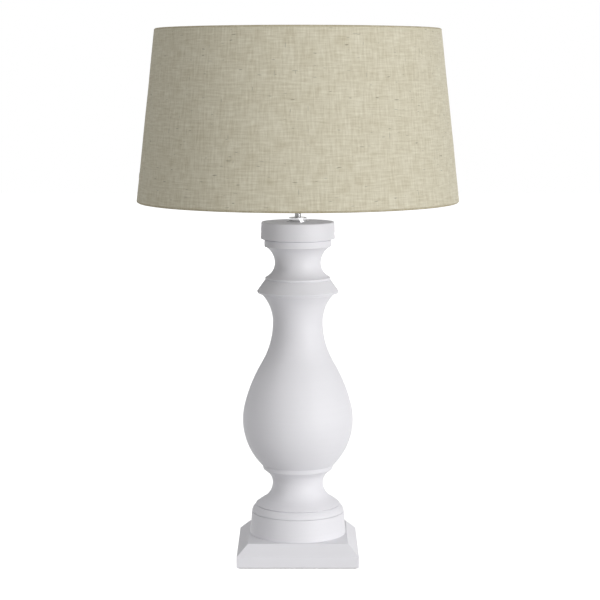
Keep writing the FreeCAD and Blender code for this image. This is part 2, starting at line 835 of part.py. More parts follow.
def make_centre_contact():
    """Bent spring strip: flat on the well's floor, then round and back under the bulb's tip."""
    body = new_body("centre_contact")
    strip, reach = S.contact_thickness, S.contact_reach
    top = S.contact_rise + strip
    bend = reach / 2
    middle = top / 2
    points = [
        (-reach, 0), (bend, 0), (bend, top), (-bend, top), (-bend, top - strip),
        (bend, top - strip), (bend, strip), (-reach, strip),
    ]
    arcs = {1: (bend + middle, middle), 5: (bend + middle - strip, middle)}
    side = new_sketch(body, "strip_side", "XZ_Plane")
    draw_loop(side, points, arcs)
    bent = pad(body, side, "strip", S.contact_width)
    bent.Midplane = True
    place(body, z=WELL_FLOOR)
    return body


def make_terminal_screw(label, side):
    """Cheese-head screw under the insert, with a driver slot, for one conductor."""
    body = new_body(label)
    head = S.terminal_head_height
    points = [
        (0, -head), (S.terminal_head_radius, -head), (S.terminal_head_radius, 0),
        (S.terminal_radius, 0), (S.terminal_radius, S.terminal_length), (0, S.terminal_length),
    ]
    revolve(body, label + "_turning", points)
    slot = new_sketch(body, label + "_slot_outline", "XY_Plane", -head)
    half = S.terminal_radius / 4
    draw_rectangle(slot, -S.terminal_head_radius * 2, -half, S.terminal_head_radius * 2, half)
    pocket(body, slot, label + "_slot", head / 2, reverse=True)
    place(body, x=S.terminal_spread * side, z=INSERT_BASE)
    return body


def make_holder_sleeve():
    """Outer sleeve of the lampholder, with the coarse shade-ring thread and an inturned lip."""
    body = new_body("holder_sleeve")
    outer, inner = S.sleeve_radius, S.sleeve_radius - S.sleeve_wall
    height, lip = S.sleeve_height, S.sleeve_lip
    mouth = S.shell_radius
    points = [
        (inner, 0), (outer, 0), (outer, height), (mouth, height),
        (mouth, height - lip), (inner, height - lip),
    ]
    revolve(body, "sleeve_turning", points)
    place(body, z=SLEEVE_BASE)
    return body


def make_shade_ring(label, base, upside_down):
    """Flanged ring that clamps the shade's fitter: the flange faces the fitter."""
    body = new_body(label)
    flange, hub, height = S.shade_ring_flange, S.shade_ring_hub_radius, S.shade_ring_height
    if upside_down:
        points = [
            (RING_BORE, 0), (S.shade_ring_radius, 0), (S.shade_ring_radius, flange),
            (hub, flange), (hub, height), (RING_BORE, height),
        ]
    else:
        points = [
            (RING_BORE, 0), (hub, 0), (hub, height - flange),
            (S.shade_ring_radius, height - flange), (S.shade_ring_radius, height),
            (RING_BORE, height),
        ]
    revolve(body, label + "_turning", points)
    place(body, z=base)
    return body


def make_lampholder():
    make_holder_cup()
    make_grub_screw()
    make_holder_insert()
    make_screw_shell()
    make_centre_contact()
    make_terminal_screw("terminal_screw_live", -1)
    make_terminal_screw("terminal_screw_neutral", 1)
    make_holder_sleeve()
    make_shade_ring("lower_shade_ring", LOWER_RING_BASE, upside_down=False)
    make_shade_ring("upper_shade_ring", UPPER_RING_BASE, upside_down=True)


# --- shade -------------------------------------------------------------------------------
def shade_slope():
    """Direction up the shade's side and square outwards from it, in the radius-height plane."""
    out = S.shade_bottom_radius - S.shade_top_radius
    up = S.shade_height - ROLL_RADIUS * 2
    run = worked("shade_side_length", root(out * out + up * up))
    leaning = worked("shade_leaning", out / run)
    rising = worked("shade_rising", up / run)
    return (-leaning, rising), (rising, leaning)


UP_SIDE, OUT_SIDE = shade_slope()
LOW_WIRE = (
    worked("low_wire_radius", S.shade_bottom_radius - ROLL_RADIUS),
    worked("low_wire_height", SHADE_BOTTOM + ROLL_RADIUS),
)
HIGH_WIRE = (
    worked("high_wire_radius", S.shade_top_radius - ROLL_RADIUS),
    worked("high_wire_height", SHADE_TOP - ROLL_RADIUS),
)


def beside(wire, out, up):
    """A point by a wire ring's centre, moved square to the shade's side and along the side."""
    return (
        wire[0] + OUT_SIDE[0] * out + UP_SIDE[0] * up,
        wire[1] + OUT_SIDE[1] * out + UP_SIDE[1] * up,
    )


def make_side(label, inner, outer, hem):
    """A conical shell along the side, between two distances outwards from the wires' centres."""
    body = new_body(label)
    points = [
        beside(LOW_WIRE, inner, hem), beside(LOW_WIRE, outer, hem),
        beside(HIGH_WIRE, outer, -hem), beside(HIGH_WIRE, inner, -hem),
    ]
    revolve(body, label + "_cone", points)
    return body


def half_round(radius):
    """Angles and radii of flat facets that touch a half circle from outside, end to end."""
    facet = 180 / ROLL_STEPS
    corner = radius / cosine(facet / 2)
    return [(0, radius)] + [(facet * (i + 0.5), corner) for i in range(ROLL_STEPS)] + [(180, radius)]


def make_rolled_edge(label, wire, towards):
    """Linen turned round the wire ring, from the shade's outside to its inside."""
    body = new_body(label)
    section = half_round(ROLL_RADIUS) + half_round(S.wire_radius)[::-1]
    points = [
        beside(wire, radius * cosine(angle), radius * sine(angle) * towards)
        for angle, radius in section
    ]
    revolve(body, label + "_roll", points)
    return body


def make_wire_ring(label, wire):
    ring = doc.addObject("Part::Torus", label)
    ring.Label = label
    bind(ring, Radius1=wire[0], Radius2=S.wire_radius)
    ring.setExpression("Placement.Base.z", wire[1].formula)
    return ring


def make_fitter():
    """Flat ring that sits between the two shade rings, with a hoop that the arms are welded to."""
    body = new_body("shade_fitter")
    bore, outer = S.fitter_bore_radius, S.fitter_radius
    sheet_height, hoop = S.fitter_thickness, S.fitter_hoop_height
    inner = outer - S.fitter_hoop_wall
    points = [
        (bore, 0), (inner, 0), (inner, sheet_height - hoop), (outer, sheet_height - hoop),
        (outer, sheet_height), (bore, sheet_height),
    ]
    revolve(body, "fitter_pressing", points)
    place(body, z=FITTER_BASE)
    return body


def make_arm(number):
    """Round arm: level out from the fitter's hoop, bent down along the side to the low wire."""
    body = new_body(f"shade_arm_{number + 1}")
    level = FITTER_TOP - S.arm_radius
    inset = S.arm_radius + S.arm_leg_gap - S.wire_radius + S.lining_thickness
    foot = beside(LOW_WIRE, -inset, 0)
    drop = level - foot[1]
    knee = (foot[0] - drop * OUT_SIDE[1] / OUT_SIDE[0], level)
    # The bend turns through a right angle less the lean of the side.
    half_turn_tangent = (1 - OUT_SIDE[1]) / OUT_SIDE[0]
    setback = S.arm_bend_radius * half_turn_tangent
    bend_start = (knee[0] - setback, level)
    bend_end = (knee[0] - UP_SIDE[0] * setback, knee[1] - UP_SIDE[1] * setback)
    centre = (bend_start[0], level - S.arm_bend_radius)
    towards_knee = root(setback * setback + S.arm_bend_radius * S.arm_bend_radius)
    bend_middle = (
        centre[0] + setback / towards_knee * S.arm_bend_radius,
        centre[1] + S.arm_bend_radius * S.arm_bend_radius / towards_knee,
    )
    route = new_sketch(body, "arm_route", "XZ_Plane")
    start = (S.fitter_radius - S.fitter_hoop_wall / 2, level)
    draw_loop(route, [start, bend_start, bend_end, foot], {1: bend_middle}, closed=False)
    section = new_sketch(body, "arm_section", "YZ_Plane", start[0])
    draw_circle(section, 0, level, S.arm_radius)
    rod = body.newObject("PartDesign::AdditivePipe", "arm_rod")
    rod.Profile = section
    rod.Spine = (route, [""])
    doc.recompute()
    before = body.Shape.Volume
    hoop = [
        (S.fitter_bore_radius, level - S.arm_radius * 2),
        (S.fitter_radius, level - S.arm_radius * 2),
        (S.fitter_radius, level + S.arm_radius * 2),
        (S.fitter_bore_radius, level + S.arm_radius * 2),
    ]
    revolve(body, "fitter_saddle", hoop, cut=True)
    wire_saddle = new_sketch(body, "wire_saddle_outline", "XZ_Plane")
    draw_circle(wire_saddle, LOW_WIRE[0], LOW_WIRE[1], S.wire_radius)
    groove = body.newObject("PartDesign::Groove", "wire_saddle")
    groove.Profile = wire_saddle
    groove.ReferenceAxis = (wire_saddle, ["V_Axis"])
    groove.Angle = 360
    doc.recompute()
    if body.Shape.Volume >= before:
        raise RuntimeError(f"{body.Label}: the saddles cut nothing")
    body.Placement = FreeCAD.Placement(
        Vector(0, 0, 0), Rotation(Vector(0, 0, 1), 90 + 360 / ARM_COUNT * number)
    )
    return body


def make_shade():
    make_wire_ring("bottom_wire_ring", LOW_WIRE)
    make_wire_ring("top_wire_ring", HIGH_WIRE)
    make_side("shade_linen", S.wire_radius, ROLL_RADIUS, 0)
    make_side("shade_lining", S.wire_radius - S.lining_thickness, S.wire_radius, S.wire_radius)
    make_rolled_edge("bottom_rolled_edge", LOW_WIRE, -1)
    make_rolled_edge("top_rolled_edge", HIGH_WIRE, 1)
    make_fitter()
    for number in range(ARM_COUNT):
        make_arm(number)


# --- bulb --------------------------------------------------------------------------------
BULB_SHELL_FOOT = worked("bulb_shell_foot", S.bulb_tip_height + S.bulb_insulator_height)
BULB_SHELL_HEAD = worked("bulb_shell_head", BULB_SHELL_FOOT + S.bulb_shell_height)
BULB_RIM = worked("bulb_rim", BULB_SHELL_HEAD + S.bulb_cap_rim)
BULB_NECK = worked("bulb_neck", S.bulb_shell_radius - S.bulb_shell_wall)
STEM_TOP = worked("stem_top", BULB_SHELL_HEAD + S.stem_height)
FILAMENT_FOOT = worked("filament_foot", STEM_TOP + S.filament_foot_rise)
FILAMENT_HEAD = worked("filament_head", FILAMENT_FOOT + S.filament_length)


def make_bulb_tip():
    """Domed solder contact on the bulb's axis."""
    body = new_body("bulb_tip")
    radius, rise = S.bulb_tip_radius, S.bulb_tip_height
    middle_rise, middle_radius = upright_arc_middle(0, 0, rise, radius)
    revolve(
        body, "tip_contact", [(0, 0), (radius, rise), (0, rise)],
        {0: (middle_radius, middle_rise)},
    )
    place(body, z=BULB_BASE)
    return body


def make_bulb_insulator():
    """Dark glass cone between the tip contact and the screw shell."""
    body = new_body("bulb_insulator")
    low, high = S.bulb_tip_height, BULB_SHELL_FOOT
    points = [(0, low), (S.bulb_tip_radius, low), (S.bulb_insulator_radius, high), (0, high)]
    revolve(body, "insulator_cone", points)
    place(body, z=BULB_BASE)
    return body


def make_bulb_cap():
    """Threaded metal cap of the bulb: a cone at the foot, a straight shell and a plain rim."""
    body = new_body("bulb_cap")
    wall, foot, rim = S.bulb_shell_wall, BULB_SHELL_FOOT, BULB_RIM
    radius, seat = S.bulb_shell_radius, S.bulb_insulator_radius
    slope = radius - seat
    points = [
        (seat - wall * 2, foot), (seat, foot), (radius, foot + slope), (radius, rim),
        (BULB_NECK, rim), (BULB_NECK, foot + slope + wall), (seat - wall, foot + wall),
        (seat - wall * 2, foot + wall),
    ]
    revolve(body, "cap_drawing", points)
    place(body, z=BULB_BASE)
    return body


def glass_outline(skin):
    """Points, arcs and crown of the glass, skin millimetres inside its outer face.

    The neck leaves the cap's rim upright and runs into the globe without a corner.
    """
    centre = S.bulb_centre_height
    up = centre - BULB_RIM
    square = BULB_NECK * BULB_NECK + up * up - S.bulb_radius * S.bulb_radius
    neck_curve = square / ((S.bulb_radius - BULB_NECK) * 2)
    between = neck_curve + S.bulb_radius
    globe, neck = S.bulb_radius - skin, BULB_NECK - skin
    joint = (globe * (BULB_NECK + neck_curve) / between, centre - globe * up / between)
    lean = (joint[0] + globe, joint[1] - centre)
    reach = root(lean[0] * lean[0] + lean[1] * lean[1])
    low_middle = (lean[0] / reach * globe, centre + lean[1] / reach * globe)
    crown_middle = (globe * cosine(45), centre + globe * sine(45))
    points = [(neck, BULB_SHELL_HEAD), (neck, BULB_RIM), joint, (globe, centre)]
    flare = upright_arc_middle(neck, BULB_RIM, joint[0], joint[1])
    return points, (flare, low_middle, crown_middle), (0, centre + globe)


def make_bulb_glass():
    """Clear globe on a neck, with a wall of even thickness, open at its foot."""
    body = new_body("bulb_glass")
    outer, outer_middles, outer_top = glass_outline(0)
    inner, inner_middles, inner_top = glass_outline(S.glass_wall)
    points = outer + [outer_top, inner_top] + inner[::-1]
    arcs = {1 + i: middle for i, middle in enumerate(outer_middles)}
    first_inner = len(outer) + 1
    arcs.update({first_inner + i: middle for i, middle in enumerate(inner_middles[::-1])})
    revolve(body, "glass_blowing", points, arcs)
    place(body, z=BULB_BASE)
    return body


def make_bulb_stem():
    """Glass stem inside the neck: a flared foot that meets the glass, and a rod."""
    body = new_body("bulb_stem")
    foot, land = BULB_SHELL_HEAD, BULB_SHELL_HEAD + S.stem_foot_land
    width = BULB_NECK - S.glass_wall
    waist = BULB_SHELL_HEAD + S.stem_height / 2
    flare = upright_arc_middle(S.stem_radius, waist, width, land)
    points = [
        (0, foot), (width, foot), (width, land), (S.stem_radius, waist),
        (S.stem_radius, STEM_TOP), (0, STEM_TOP),
    ]
    revolve(body, "stem_drawing", points, {2: flare})
    place(body, z=BULB_BASE)
    return body


def make_rod(name, radius, height, x, y, z):
    """An upright rod with its foot at x, y, z."""
    rod = doc.addObject("Part::Cylinder", name)
    bind(rod, Radius=radius, Height=height)
    for axis, value in (("x", x), ("y", y), ("z", z)):
        rod.setExpression(f"Placement.Base.{axis}", length(value).formula)
    return rod


def join(label, members):
    """One piece out of several solids."""
    piece = doc.addObject("Part::MultiFuse", label)
    piece.Label = label
    piece.Shapes = members
    return piece


def make_filaments():
    """Upright light filaments in a circle."""
    circle = S.filament_circle
    rods = []
    for number in range(FILAMENT_COUNT):
        angle = 360 / FILAMENT_COUNT * number
        rods.append(make_rod(
            f"filament_{number + 1}", S.filament_radius, S.filament_length,
            circle * cosine(angle), circle * sine(angle), BULB_BASE + FILAMENT_FOOT,
        ))
    return join("filaments", rods)


def make_filament_frame():
    """Post on the stem with a ring on two spokes at each end, which hold the filaments."""
    body = new_body("filament_frame")
    circle, wire = S.filament_circle, S.frame_wire_radius
    post = new_sketch(body, "post_outline", "XY_Plane")
    draw_circle(post, 0, 0, S.frame_post_radius)
    pad(body, post, "post", FILAMENT_HEAD - STEM_TOP + wire * 2)
    for end, level in (("low", FILAMENT_FOOT - STEM_TOP - wire * 2), ("high", FILAMENT_HEAD - STEM_TOP)):
        ring = new_sketch(body, f"ring_outline_{end}", "XY_Plane", level)
        draw_circle(ring, 0, 0, circle + wire)
        draw_circle(ring, 0, 0, circle - wire)
        pad(body, ring, f"ring_{end}", wire * 2)
        spokes = new_sketch(body, f"spoke_outline_{end}", "XY_Plane", level)
        draw_rectangle(spokes, -circle, -wire, circle, wire)
        pad(body, spokes, f"spokes_{end}", wire * 2)
    place(body, z=BULB_BASE + STEM_TOP)
    return body


def check_worked_values():
    """The second sheet has to say the same as the values that the sketches started from."""
    for alias, number in worked_values.items():
        if abs(float(getattr(worked_sheet, alias)) - number) > 1e-6 * max(1.0, abs(number)):
            raise RuntimeError(f"{alias} is {getattr(worked_sheet, alias)}, not {number}")


def export_parts():
    """Check every feature, then write each piece to a file of its own."""
    doc.recompute()
    for item in doc.Objects:
        if "Invalid" in item.State or "Error" in item.State:
            raise RuntimeError(f"{item.Label} failed: {item.State}")
    os.makedirs("parts", exist_ok=True)
    kinds = ("PartDesign::Body", "Part::Torus", "Part::MultiFuse")
    built_in = {member for item in doc.Objects if item.TypeId == kinds[2] for member in item.Shapes}
    pieces = [item for item in doc.Objects if item.TypeId in kinds and item not in built_in]
    for piece in pieces:
        shape = piece.Shape
        if shape.isNull() or not shape.isValid() or not shape.Solids:
            raise RuntimeError(f"{piece.Label} has no valid solid")
        shape.exportStep(os.path.join("parts", piece.Label + ".step"))
        print(f"{piece.Label}: {len(shape.Solids)} solid(s), {shape.Volume:.1f} mm3")


make_felt_pad()
make_plinth()
make_cable_bush()
make_column()
make_tie_hardware()
make_lampholder()
make_shade()
make_bulb_tip()
make_bulb_insulator()
make_bulb_cap()
make_bulb_glass()
make_bulb_stem()
make_filaments()
make_filament_frame()
check_worked_values()
export_parts()
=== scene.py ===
"""Looks of the column table lamp: paint, metal, plastic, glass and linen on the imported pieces.

Metres, +Z up, the origin under the middle of the plinth. Turned pieces take their outline from
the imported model, get rounded edges and are spun again with enough facets for close views.
"""

import json
import math
from functools import partial, partialmethod

import bmesh
import bpy
import numpy as np
from bpy.props import FloatProperty, FloatVectorProperty, IntProperty, PointerProperty
from mathutils import Matrix, Vector, noise


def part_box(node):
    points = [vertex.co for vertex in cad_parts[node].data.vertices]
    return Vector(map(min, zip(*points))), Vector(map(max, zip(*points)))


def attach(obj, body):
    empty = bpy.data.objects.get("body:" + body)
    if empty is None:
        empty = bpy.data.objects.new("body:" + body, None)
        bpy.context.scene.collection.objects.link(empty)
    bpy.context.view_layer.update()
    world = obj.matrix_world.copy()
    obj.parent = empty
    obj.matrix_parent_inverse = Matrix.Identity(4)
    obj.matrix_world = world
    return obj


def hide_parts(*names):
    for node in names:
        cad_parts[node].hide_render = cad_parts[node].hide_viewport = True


bl_info = {
    "name": "Column Table Lamp",
    "version": (1, 0, 0),
    "blender": (4, 5, 0),
    "location": "3D View > Sidebar > Lamp",
    "description": "Builds the pieces and finishes of a table lamp with a turned column",
    "category": "Object",
}

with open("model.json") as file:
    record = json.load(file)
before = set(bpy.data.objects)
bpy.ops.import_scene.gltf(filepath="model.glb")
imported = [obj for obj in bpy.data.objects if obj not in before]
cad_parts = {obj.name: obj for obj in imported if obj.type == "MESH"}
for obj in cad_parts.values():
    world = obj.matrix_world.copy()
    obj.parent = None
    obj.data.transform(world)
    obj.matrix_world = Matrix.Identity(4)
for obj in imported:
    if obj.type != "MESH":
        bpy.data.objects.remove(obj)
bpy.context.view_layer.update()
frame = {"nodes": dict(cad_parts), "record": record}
TAU = 2 * math.pi
REAR = math.pi / 2
SHADE_SIDES = 360
TURNED_SIDES = 160
EDGE_TURN = 35.0


# --- settings ---
def number(name, default, description, kind=FloatProperty, **options):
    return kind(name=name, description=description, default=default, **options)


metres = partial(number, unit="LENGTH", precision=5)
share = partial(number, min=0, max=1, subtype="FACTOR")
colour = partial(number, kind=FloatVectorProperty, size=3, min=0, max=1, subtype="COLOR")


class LampSizes(bpy.types.PropertyGroup):
    """Sizes of edges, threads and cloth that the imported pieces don't carry."""

    paint_edge: metres("Painted Edge", 0.0007, "Edge radius of painted wood")
    quirk: metres("Quirk", 0.0013, "Depth of the fine lines between the column's mouldings")
    metal_edge: metres("Metal Edge", 0.00022, "Edge radius of turned metal")
    plastic_edge: metres("Plastic Edge", 0.00035, "Edge radius of moulded plastic")
    cap_pitch: metres("Lamp Cap Pitch", 0.003629, "Pitch of the bulb's thread")
    cap_depth: metres("Lamp Cap Thread Depth", 0.00085, "Depth of the bulb's thread")
    tube_pitch: metres("Tube Pitch", 0.001, "Pitch of the threaded tube")
    tube_depth: metres("Tube Thread Depth", 0.00035, "Depth of the tube's thread")
    sleeve_pitch: metres("Sleeve Pitch", 0.003, "Pitch of the shade rings' thread")
    sleeve_depth: metres("Sleeve Thread Depth", 0.0007, "Depth of the shade rings' thread")
    grip_count: number("Grip Flutes", 36, "Flutes round each shade ring", IntProperty, min=0)
    grip_depth: metres("Grip Depth", 0.0006, "Depth of the shade rings' flutes")
    recess_radius: metres("Recess Radius", 0.023, "Radius of the nut's recess under the plinth")
    tube_bore: metres("Tube Bore", 0.0056, "Radius of the plinth's hole for the tube")
    bush_bore: metres("Bush Bore", 0.0049, "Radius of the plinth's hole for the bush")
    weld_radius: metres("Weld Radius", 0.0021, "Radius of the weld beads on the shade's frame")
    weave_pitch: metres("Weave Pitch", 0.0007, "Distance between two linen threads")
    cloth_ripple: metres("Cloth Ripple", 0.0003, "How far the stretched linen is out of true")
    hem_width: metres("Hem Width", 0.007, "Width of linen turned in at each rim")
    seam_width: metres("Seam Width", 0.012, "Width of the cover's overlap at the rear")
    slub_length: metres("Slub Length", 0.011, "Length of the longest thick place")
    slub_thickness: metres("Slub Thickness", 0.00042, "Half the width of a thick place")
    slub_count: number("Slubs per Square Metre", 330, "Thick places in the cover's yarn", min=0)


class LampFinishes(bpy.types.PropertyGroup):
    """Colours of the finishes."""

    paint: colour("Paint", (0.85, 0.843, 0.875), "Satin paint on the plinth and the column")
    linen_light: colour("Linen, Light", (0.765, 0.732, 0.598), "The palest threads")
    linen_dark: colour("Linen, Dark", (0.42, 0.36, 0.225), "The darkest threads")
    lining: colour("Lining", (0.86, 0.85, 0.82), "Laminate inside the shade")
    plating: colour("Plating", (0.80, 0.80, 0.81), "Bright plated metal")
    brass: colour("Brass", (0.78, 0.58, 0.28), "Rolled brass")
    felt: colour("Felt", (0.42, 0.41, 0.40), "Pad under the plinth")
    plastic: colour("Plastic", (0.83, 0.83, 0.81), "White moulded plastic")
    phosphor: colour("Phosphor", (0.85, 0.62, 0.20), "Coat of the bulb's filaments")
    paint_roughness: share("Paint Roughness", 0.5, "Roughness of the satin paint")


class LampStage(bpy.types.PropertyGroup):
    """Camera, lamps and floor."""

    camera_height: metres("Camera Height", 0.7566, "Height of the lens above the floor")
    camera_distance: metres("Camera Distance", 2.887, "Distance of the lens before the column")
    camera_side: metres("Camera Side", 0.0033, "How far the lens stands to the right")
    camera_dip: number(
        "Camera Dip", math.radians(6.907), "How far the camera looks down", subtype="ANGLE"
    )
    lens: number("Lens", 111.378, "Focal length", unit="CAMERA")
    key_power: number("Key Lamp", 190, "Power of the soft lamp at the right", unit="POWER")
    fill_power: number("Fill Lamp", 14, "Power of the soft lamp at the upper left", unit="POWER")
    back_power: number("Back Lamp", 85, "Power of the soft lamp behind the column", unit="POWER")
    room_level: share("Room Light", 0.43, "Strength of the light from all sides")
    room_slope: share("Room Slope", 0.28, "How much darker the room's left is")
    floor_glow: share("Floor Glow", 0.88, "Own light of the floor where the camera sees it")


GROUPS = (("lamp_sizes", LampSizes), ("lamp_finishes", LampFinishes), ("lamp_stage", LampStage))


# --- node building ---
class Wire:
    """A node's output, with arithmetic that adds the Math nodes it needs."""

    def __init__(self, tree, socket):
        self.tree = tree
        self.socket = socket

    def math(self, operation, *others):
        node = self.tree.nodes.new("ShaderNodeMath")
        node.operation = operation
        for socket, value in zip(node.inputs, (self, *others)):
            feed(self.tree, value, socket)
        return Wire(self.tree, node.outputs[0])

    __add__ = partialmethod(math, "ADD")
    __sub__ = partialmethod(math, "SUBTRACT")
    __mul__ = partialmethod(math, "MULTIPLY")
    __truediv__ = partialmethod(math, "DIVIDE")

    def clamped(self):
        return self.math("MAXIMUM", 0.0).math("MINIMUM", 1.0)


def feed(tree, value, socket):
    """Link a wire to a socket, or set the socket to a plain value."""
    if isinstance(value, Wire):
        tree.links.new(value.socket, socket)
    else:
        socket.default_value = value


def add(tree, kind, inputs=None, out=0, **options):
    """Add a node with its options and inputs, and give back one of its outputs."""
    node = tree.nodes.new(kind)
    for name, value in options.items():
        setattr(node, name, value)
    for name, value in (inputs or {}).items():
        feed(tree, value, node.inputs[name])
    return Wire(tree, node.outputs[out])


def parts_of(tree, vector):
    """The x, y and z of a vector wire."""
    node = tree.nodes.new("ShaderNodeSeparateXYZ")
    feed(tree, vector, node.inputs[0])
    return [Wire(tree, socket) for socket in node.outputs]


def vector_of(tree, x, y, z):
    return add(tree, "ShaderNodeCombineXYZ", {"X": x, "Y": y, "Z": z})


def rays(tree):
    """1 for the camera, for reflections and for what shows through glass, or else 0."""
    outputs = tree.nodes.new("ShaderNodeLightPath").outputs
    kinds = "Camera", "Glossy", "Transmission"
    return [Wire(tree, outputs[f"Is {kind} Ray"]) for kind in kinds]


def placed(name, data):
    """A new object in the scene."""
    item = bpy.data.objects.new(name, data)
    bpy.context.scene.collection.objects.link(item)
    return item


# --- finishes ---
MADE_FINISHES = {}


class Finish:
    """A material in the making: its tree, its surface and the places that its patterns read."""

    def __init__(self, name, base, roughness, metallic=0.0, **uniform):
        self.material = MADE_FINISHES[name] = bpy.data.materials.new(name)
        self.material.use_nodes = True
        self.tree = self.material.node_tree
        self.surface = self.tree.nodes["Principled BSDF"]
        uniform.update(Base_Color=(*base, 1), Roughness=roughness, Metallic=metallic)
        for label, value in uniform.items():
            self.surface.inputs[label.replace("_", " ")].default_value = value
        self.material.diffuse_color = (*base, 1)

    def place(self, level=1.0, upright=None):
        """Object coordinates, stretched level and upright, or alike where one number is given."""
        here = add(self.tree, "ShaderNodeTexCoord", out="Object")
        scale = (level, level, level if upright is None else upright)
        return add(self.tree, "ShaderNodeMapping", {"Vector": here, "Scale": scale})

    def cloth(self):
        """Distances in metres round and along a piece, from its own UV map."""
        here = add(self.tree, "ShaderNodeUVMap", uv_map="metres")
        return parts_of(self.tree, here)[:2]

    def noise(self, vector, detail=2.0, roughness=0.5):
        inputs = {"Vector": vector, "Scale": 1.0, "Detail": detail, "Roughness": roughness}
        return add(self.tree, "ShaderNodeTexNoise", inputs)

    def tint(self, low, high, share_of_high):
        """Colour the surface between two colours."""
        mixed = self.mixed((*low, 1), (*high, 1), share_of_high)
        feed(self.tree, mixed, self.surface.inputs["Base Color"])

    def mixed(self, low, high, share_of_high):
        inputs = {0: share_of_high, 6: low, 7: high}
        return add(self.tree, "ShaderNodeMix", inputs, out=2, data_type="RGBA")

    def dulled(self, pattern, least, most):
        """Let the roughness follow a pattern that runs from 0 to 1."""
        roughness = (pattern * (most - least) + least).clamped()
        feed(self.tree, roughness, self.surface.inputs["Roughness"])

    def raised(self, height):
        """Bump by a height in metres."""
        inputs = {"Height": height, "Distance": 1.0, "Strength": 1.0}
        bump = add(self.tree, "ShaderNodeBump", inputs, out="Normal")
        feed(self.tree, bump, self.surface.inputs["Normal"])


def shaded(base, factor):
    return tuple(channel * factor for channel in base)


def painted_wood(name, base, roughness):
    """Satin paint: brush lines that follow the turning, a fine peel and slight clouding."""
    finish = Finish(name, base, roughness, Specular_IOR_Level=0.32)
    clouds = finish.noise(finish.place(14), detail=3)
    lines = finish.noise(finish.place(7, 900))
    peel = finish.noise(finish.place(620), detail=1)
    finish.tint(shaded(base, 0.955), shaded(base, 1.03), clouds * 0.6 + lines * 0.4)
    finish.dulled(clouds * 0.6 + peel * 0.4, roughness - 0.09, roughness + 0.09)
    finish.raised(lines * 0.00001 + peel * 0.000014)


def bright_metal(name, base, roughness, lines=0.0):
    """Plated or bare metal; lines are fine turning marks round the axis."""
    finish = Finish(name, base, roughness, metallic=1.0)
    x, y, z = parts_of(finish.tree, finish.place())
    radius = (x * x + y * y).math("SQRT")
    marks = finish.noise(vector_of(finish.tree, radius * 5200, z * 5200, 0.0), detail=1)
    smears = finish.noise(finish.place(160), detail=3)
    finish.tint(shaded(base, 0.9), shaded(base, 1.03), smears)
    finish.dulled(smears * 0.7 + marks * 0.3, roughness * 0.6, roughness * 1.4)
    finish.raised(marks * lines + smears * 0.000004)


def moulded(name, base, roughness, grain=0.00001, **uniform):
    """Plastic, enamel or ceramic with a fine grain and faint clouding."""
    finish = Finish(name, base, roughness, **uniform)
    clouds = finish.noise(finish.place(45), detail=3)
    fine = finish.noise(finish.place(1800))
    finish.tint(shaded(base, 0.94), shaded(base, 1.02), clouds * 0.7 + fine * 0.3)
    finish.dulled(fine, roughness - 0.06, roughness + 0.06)
    finish.raised(fine * grain)


def pressed_felt(name, base):
    """Short fibres in every direction, matt."""
    finish = Finish(name, base, 0.95, Sheen_Weight=0.3, Sheen_Roughness=0.6)
    fibres = finish.noise(finish.place(1500, 900), detail=4, roughness=0.7)
    lumps = finish.noise(finish.place(130))
    finish.tint(shaded(base, 0.55), shaded(base, 1.9), fibres * 0.7 + lumps * 0.3)
    finish.raised(fibres * 0.0003)


def linen(name, light, dark, pitch, depth=0.00007, painted_shade_shift=0.0):
    """Slubbed plain weave on the piece's own metres: a thread keeps its tone for a while."""
    finish = Finish(
        name, light, 0.75, Specular_IOR_Level=0.3, Sheen_Weight=0.06, Sheen_Roughness=0.5
    )
    tree = finish.tree
    u, v = finish.cloth()

    def noise(across, along, layer, **options):
        return finish.noise(vector_of(tree, u * across, v * along, layer), **options)

    wander = (noise(70, 70, 5.0) - 0.5) * (pitch * 2.6)
    warp = ((u + wander) * (math.pi / pitch)).math("SINE")
    weft = ((v - wander) * (math.pi / pitch)).math("SINE")
    over = (warp * weft).math("GREATER_THAN", 0.0)
    crown = warp.math("ABSOLUTE") * over + weft.math("ABSOLUTE") * (over * -1 + 1)
    fine, coarse = 340, 38  # a streak is thin across its thread and long along it
    upright = noise(fine, coarse, 0.0, roughness=0.65)
    level = noise(coarse, fine, 7.0, roughness=0.65)
    streaks = (upright + level) * 0.5
    # painted_shade_shift darkens the whole cloth as painted shade; the rolled edges and hems use it
    tone = (streaks - 0.5) * 1.7 + (noise(34, 34, 3.0) - 0.5) * 0.25 + 0.60 + painted_shade_shift
    # painted highlight and shade: thread crowns a little lighter, the dips between threads a little
    # darker
    tone = (tone + (crown - 0.64) * 0.07).clamped()
    cloth = finish.mixed((*dark, 1), (*light, 1), tone)
    flecks = ((noise(62, 330, 11.0, detail=1) - 0.72) * 22).clamped()
    cloth = finish.mixed(cloth, (*shaded(dark, 0.45), 1), flecks * 0.6)
    feed(tree, cloth, finish.surface.inputs["Base Color"])
    finish.dulled(crown, 0.86, 0.66)
    finish.raised(crown * depth + streaks * (depth * 1.8))


def clear_glass(name):
    """Thin blown glass with the faintest waves."""
    finish = Finish(name, (0.97, 0.985, 0.98), 0.02, Transmission_Weight=1.0, IOR=1.47)
    waves = finish.noise(finish.place(55, 30), detail=1)
    finish.dulled(waves, 0.0, 0.05)
    finish.raised(waves * 0.00005)


def phosphor_coat(name, base):
    """Soft yellow silicone with small chips below its skin."""
    finish = Finish(name, base, 0.55, Subsurface_Weight=0.15, Subsurface_Scale=0.001)
    inputs = {"Vector": finish.place(0, 620), "Scale": 1.0}
    chips = add(finish.tree, "ShaderNodeTexVoronoi", inputs)
    skin = finish.noise(finish.place(2500))
    finish.tint(shaded(base, 0.72), base, chips * 0.7 + skin * 0.3)
    finish.dulled(skin, 0.45, 0.7)
    finish.raised(skin * 0.00003)


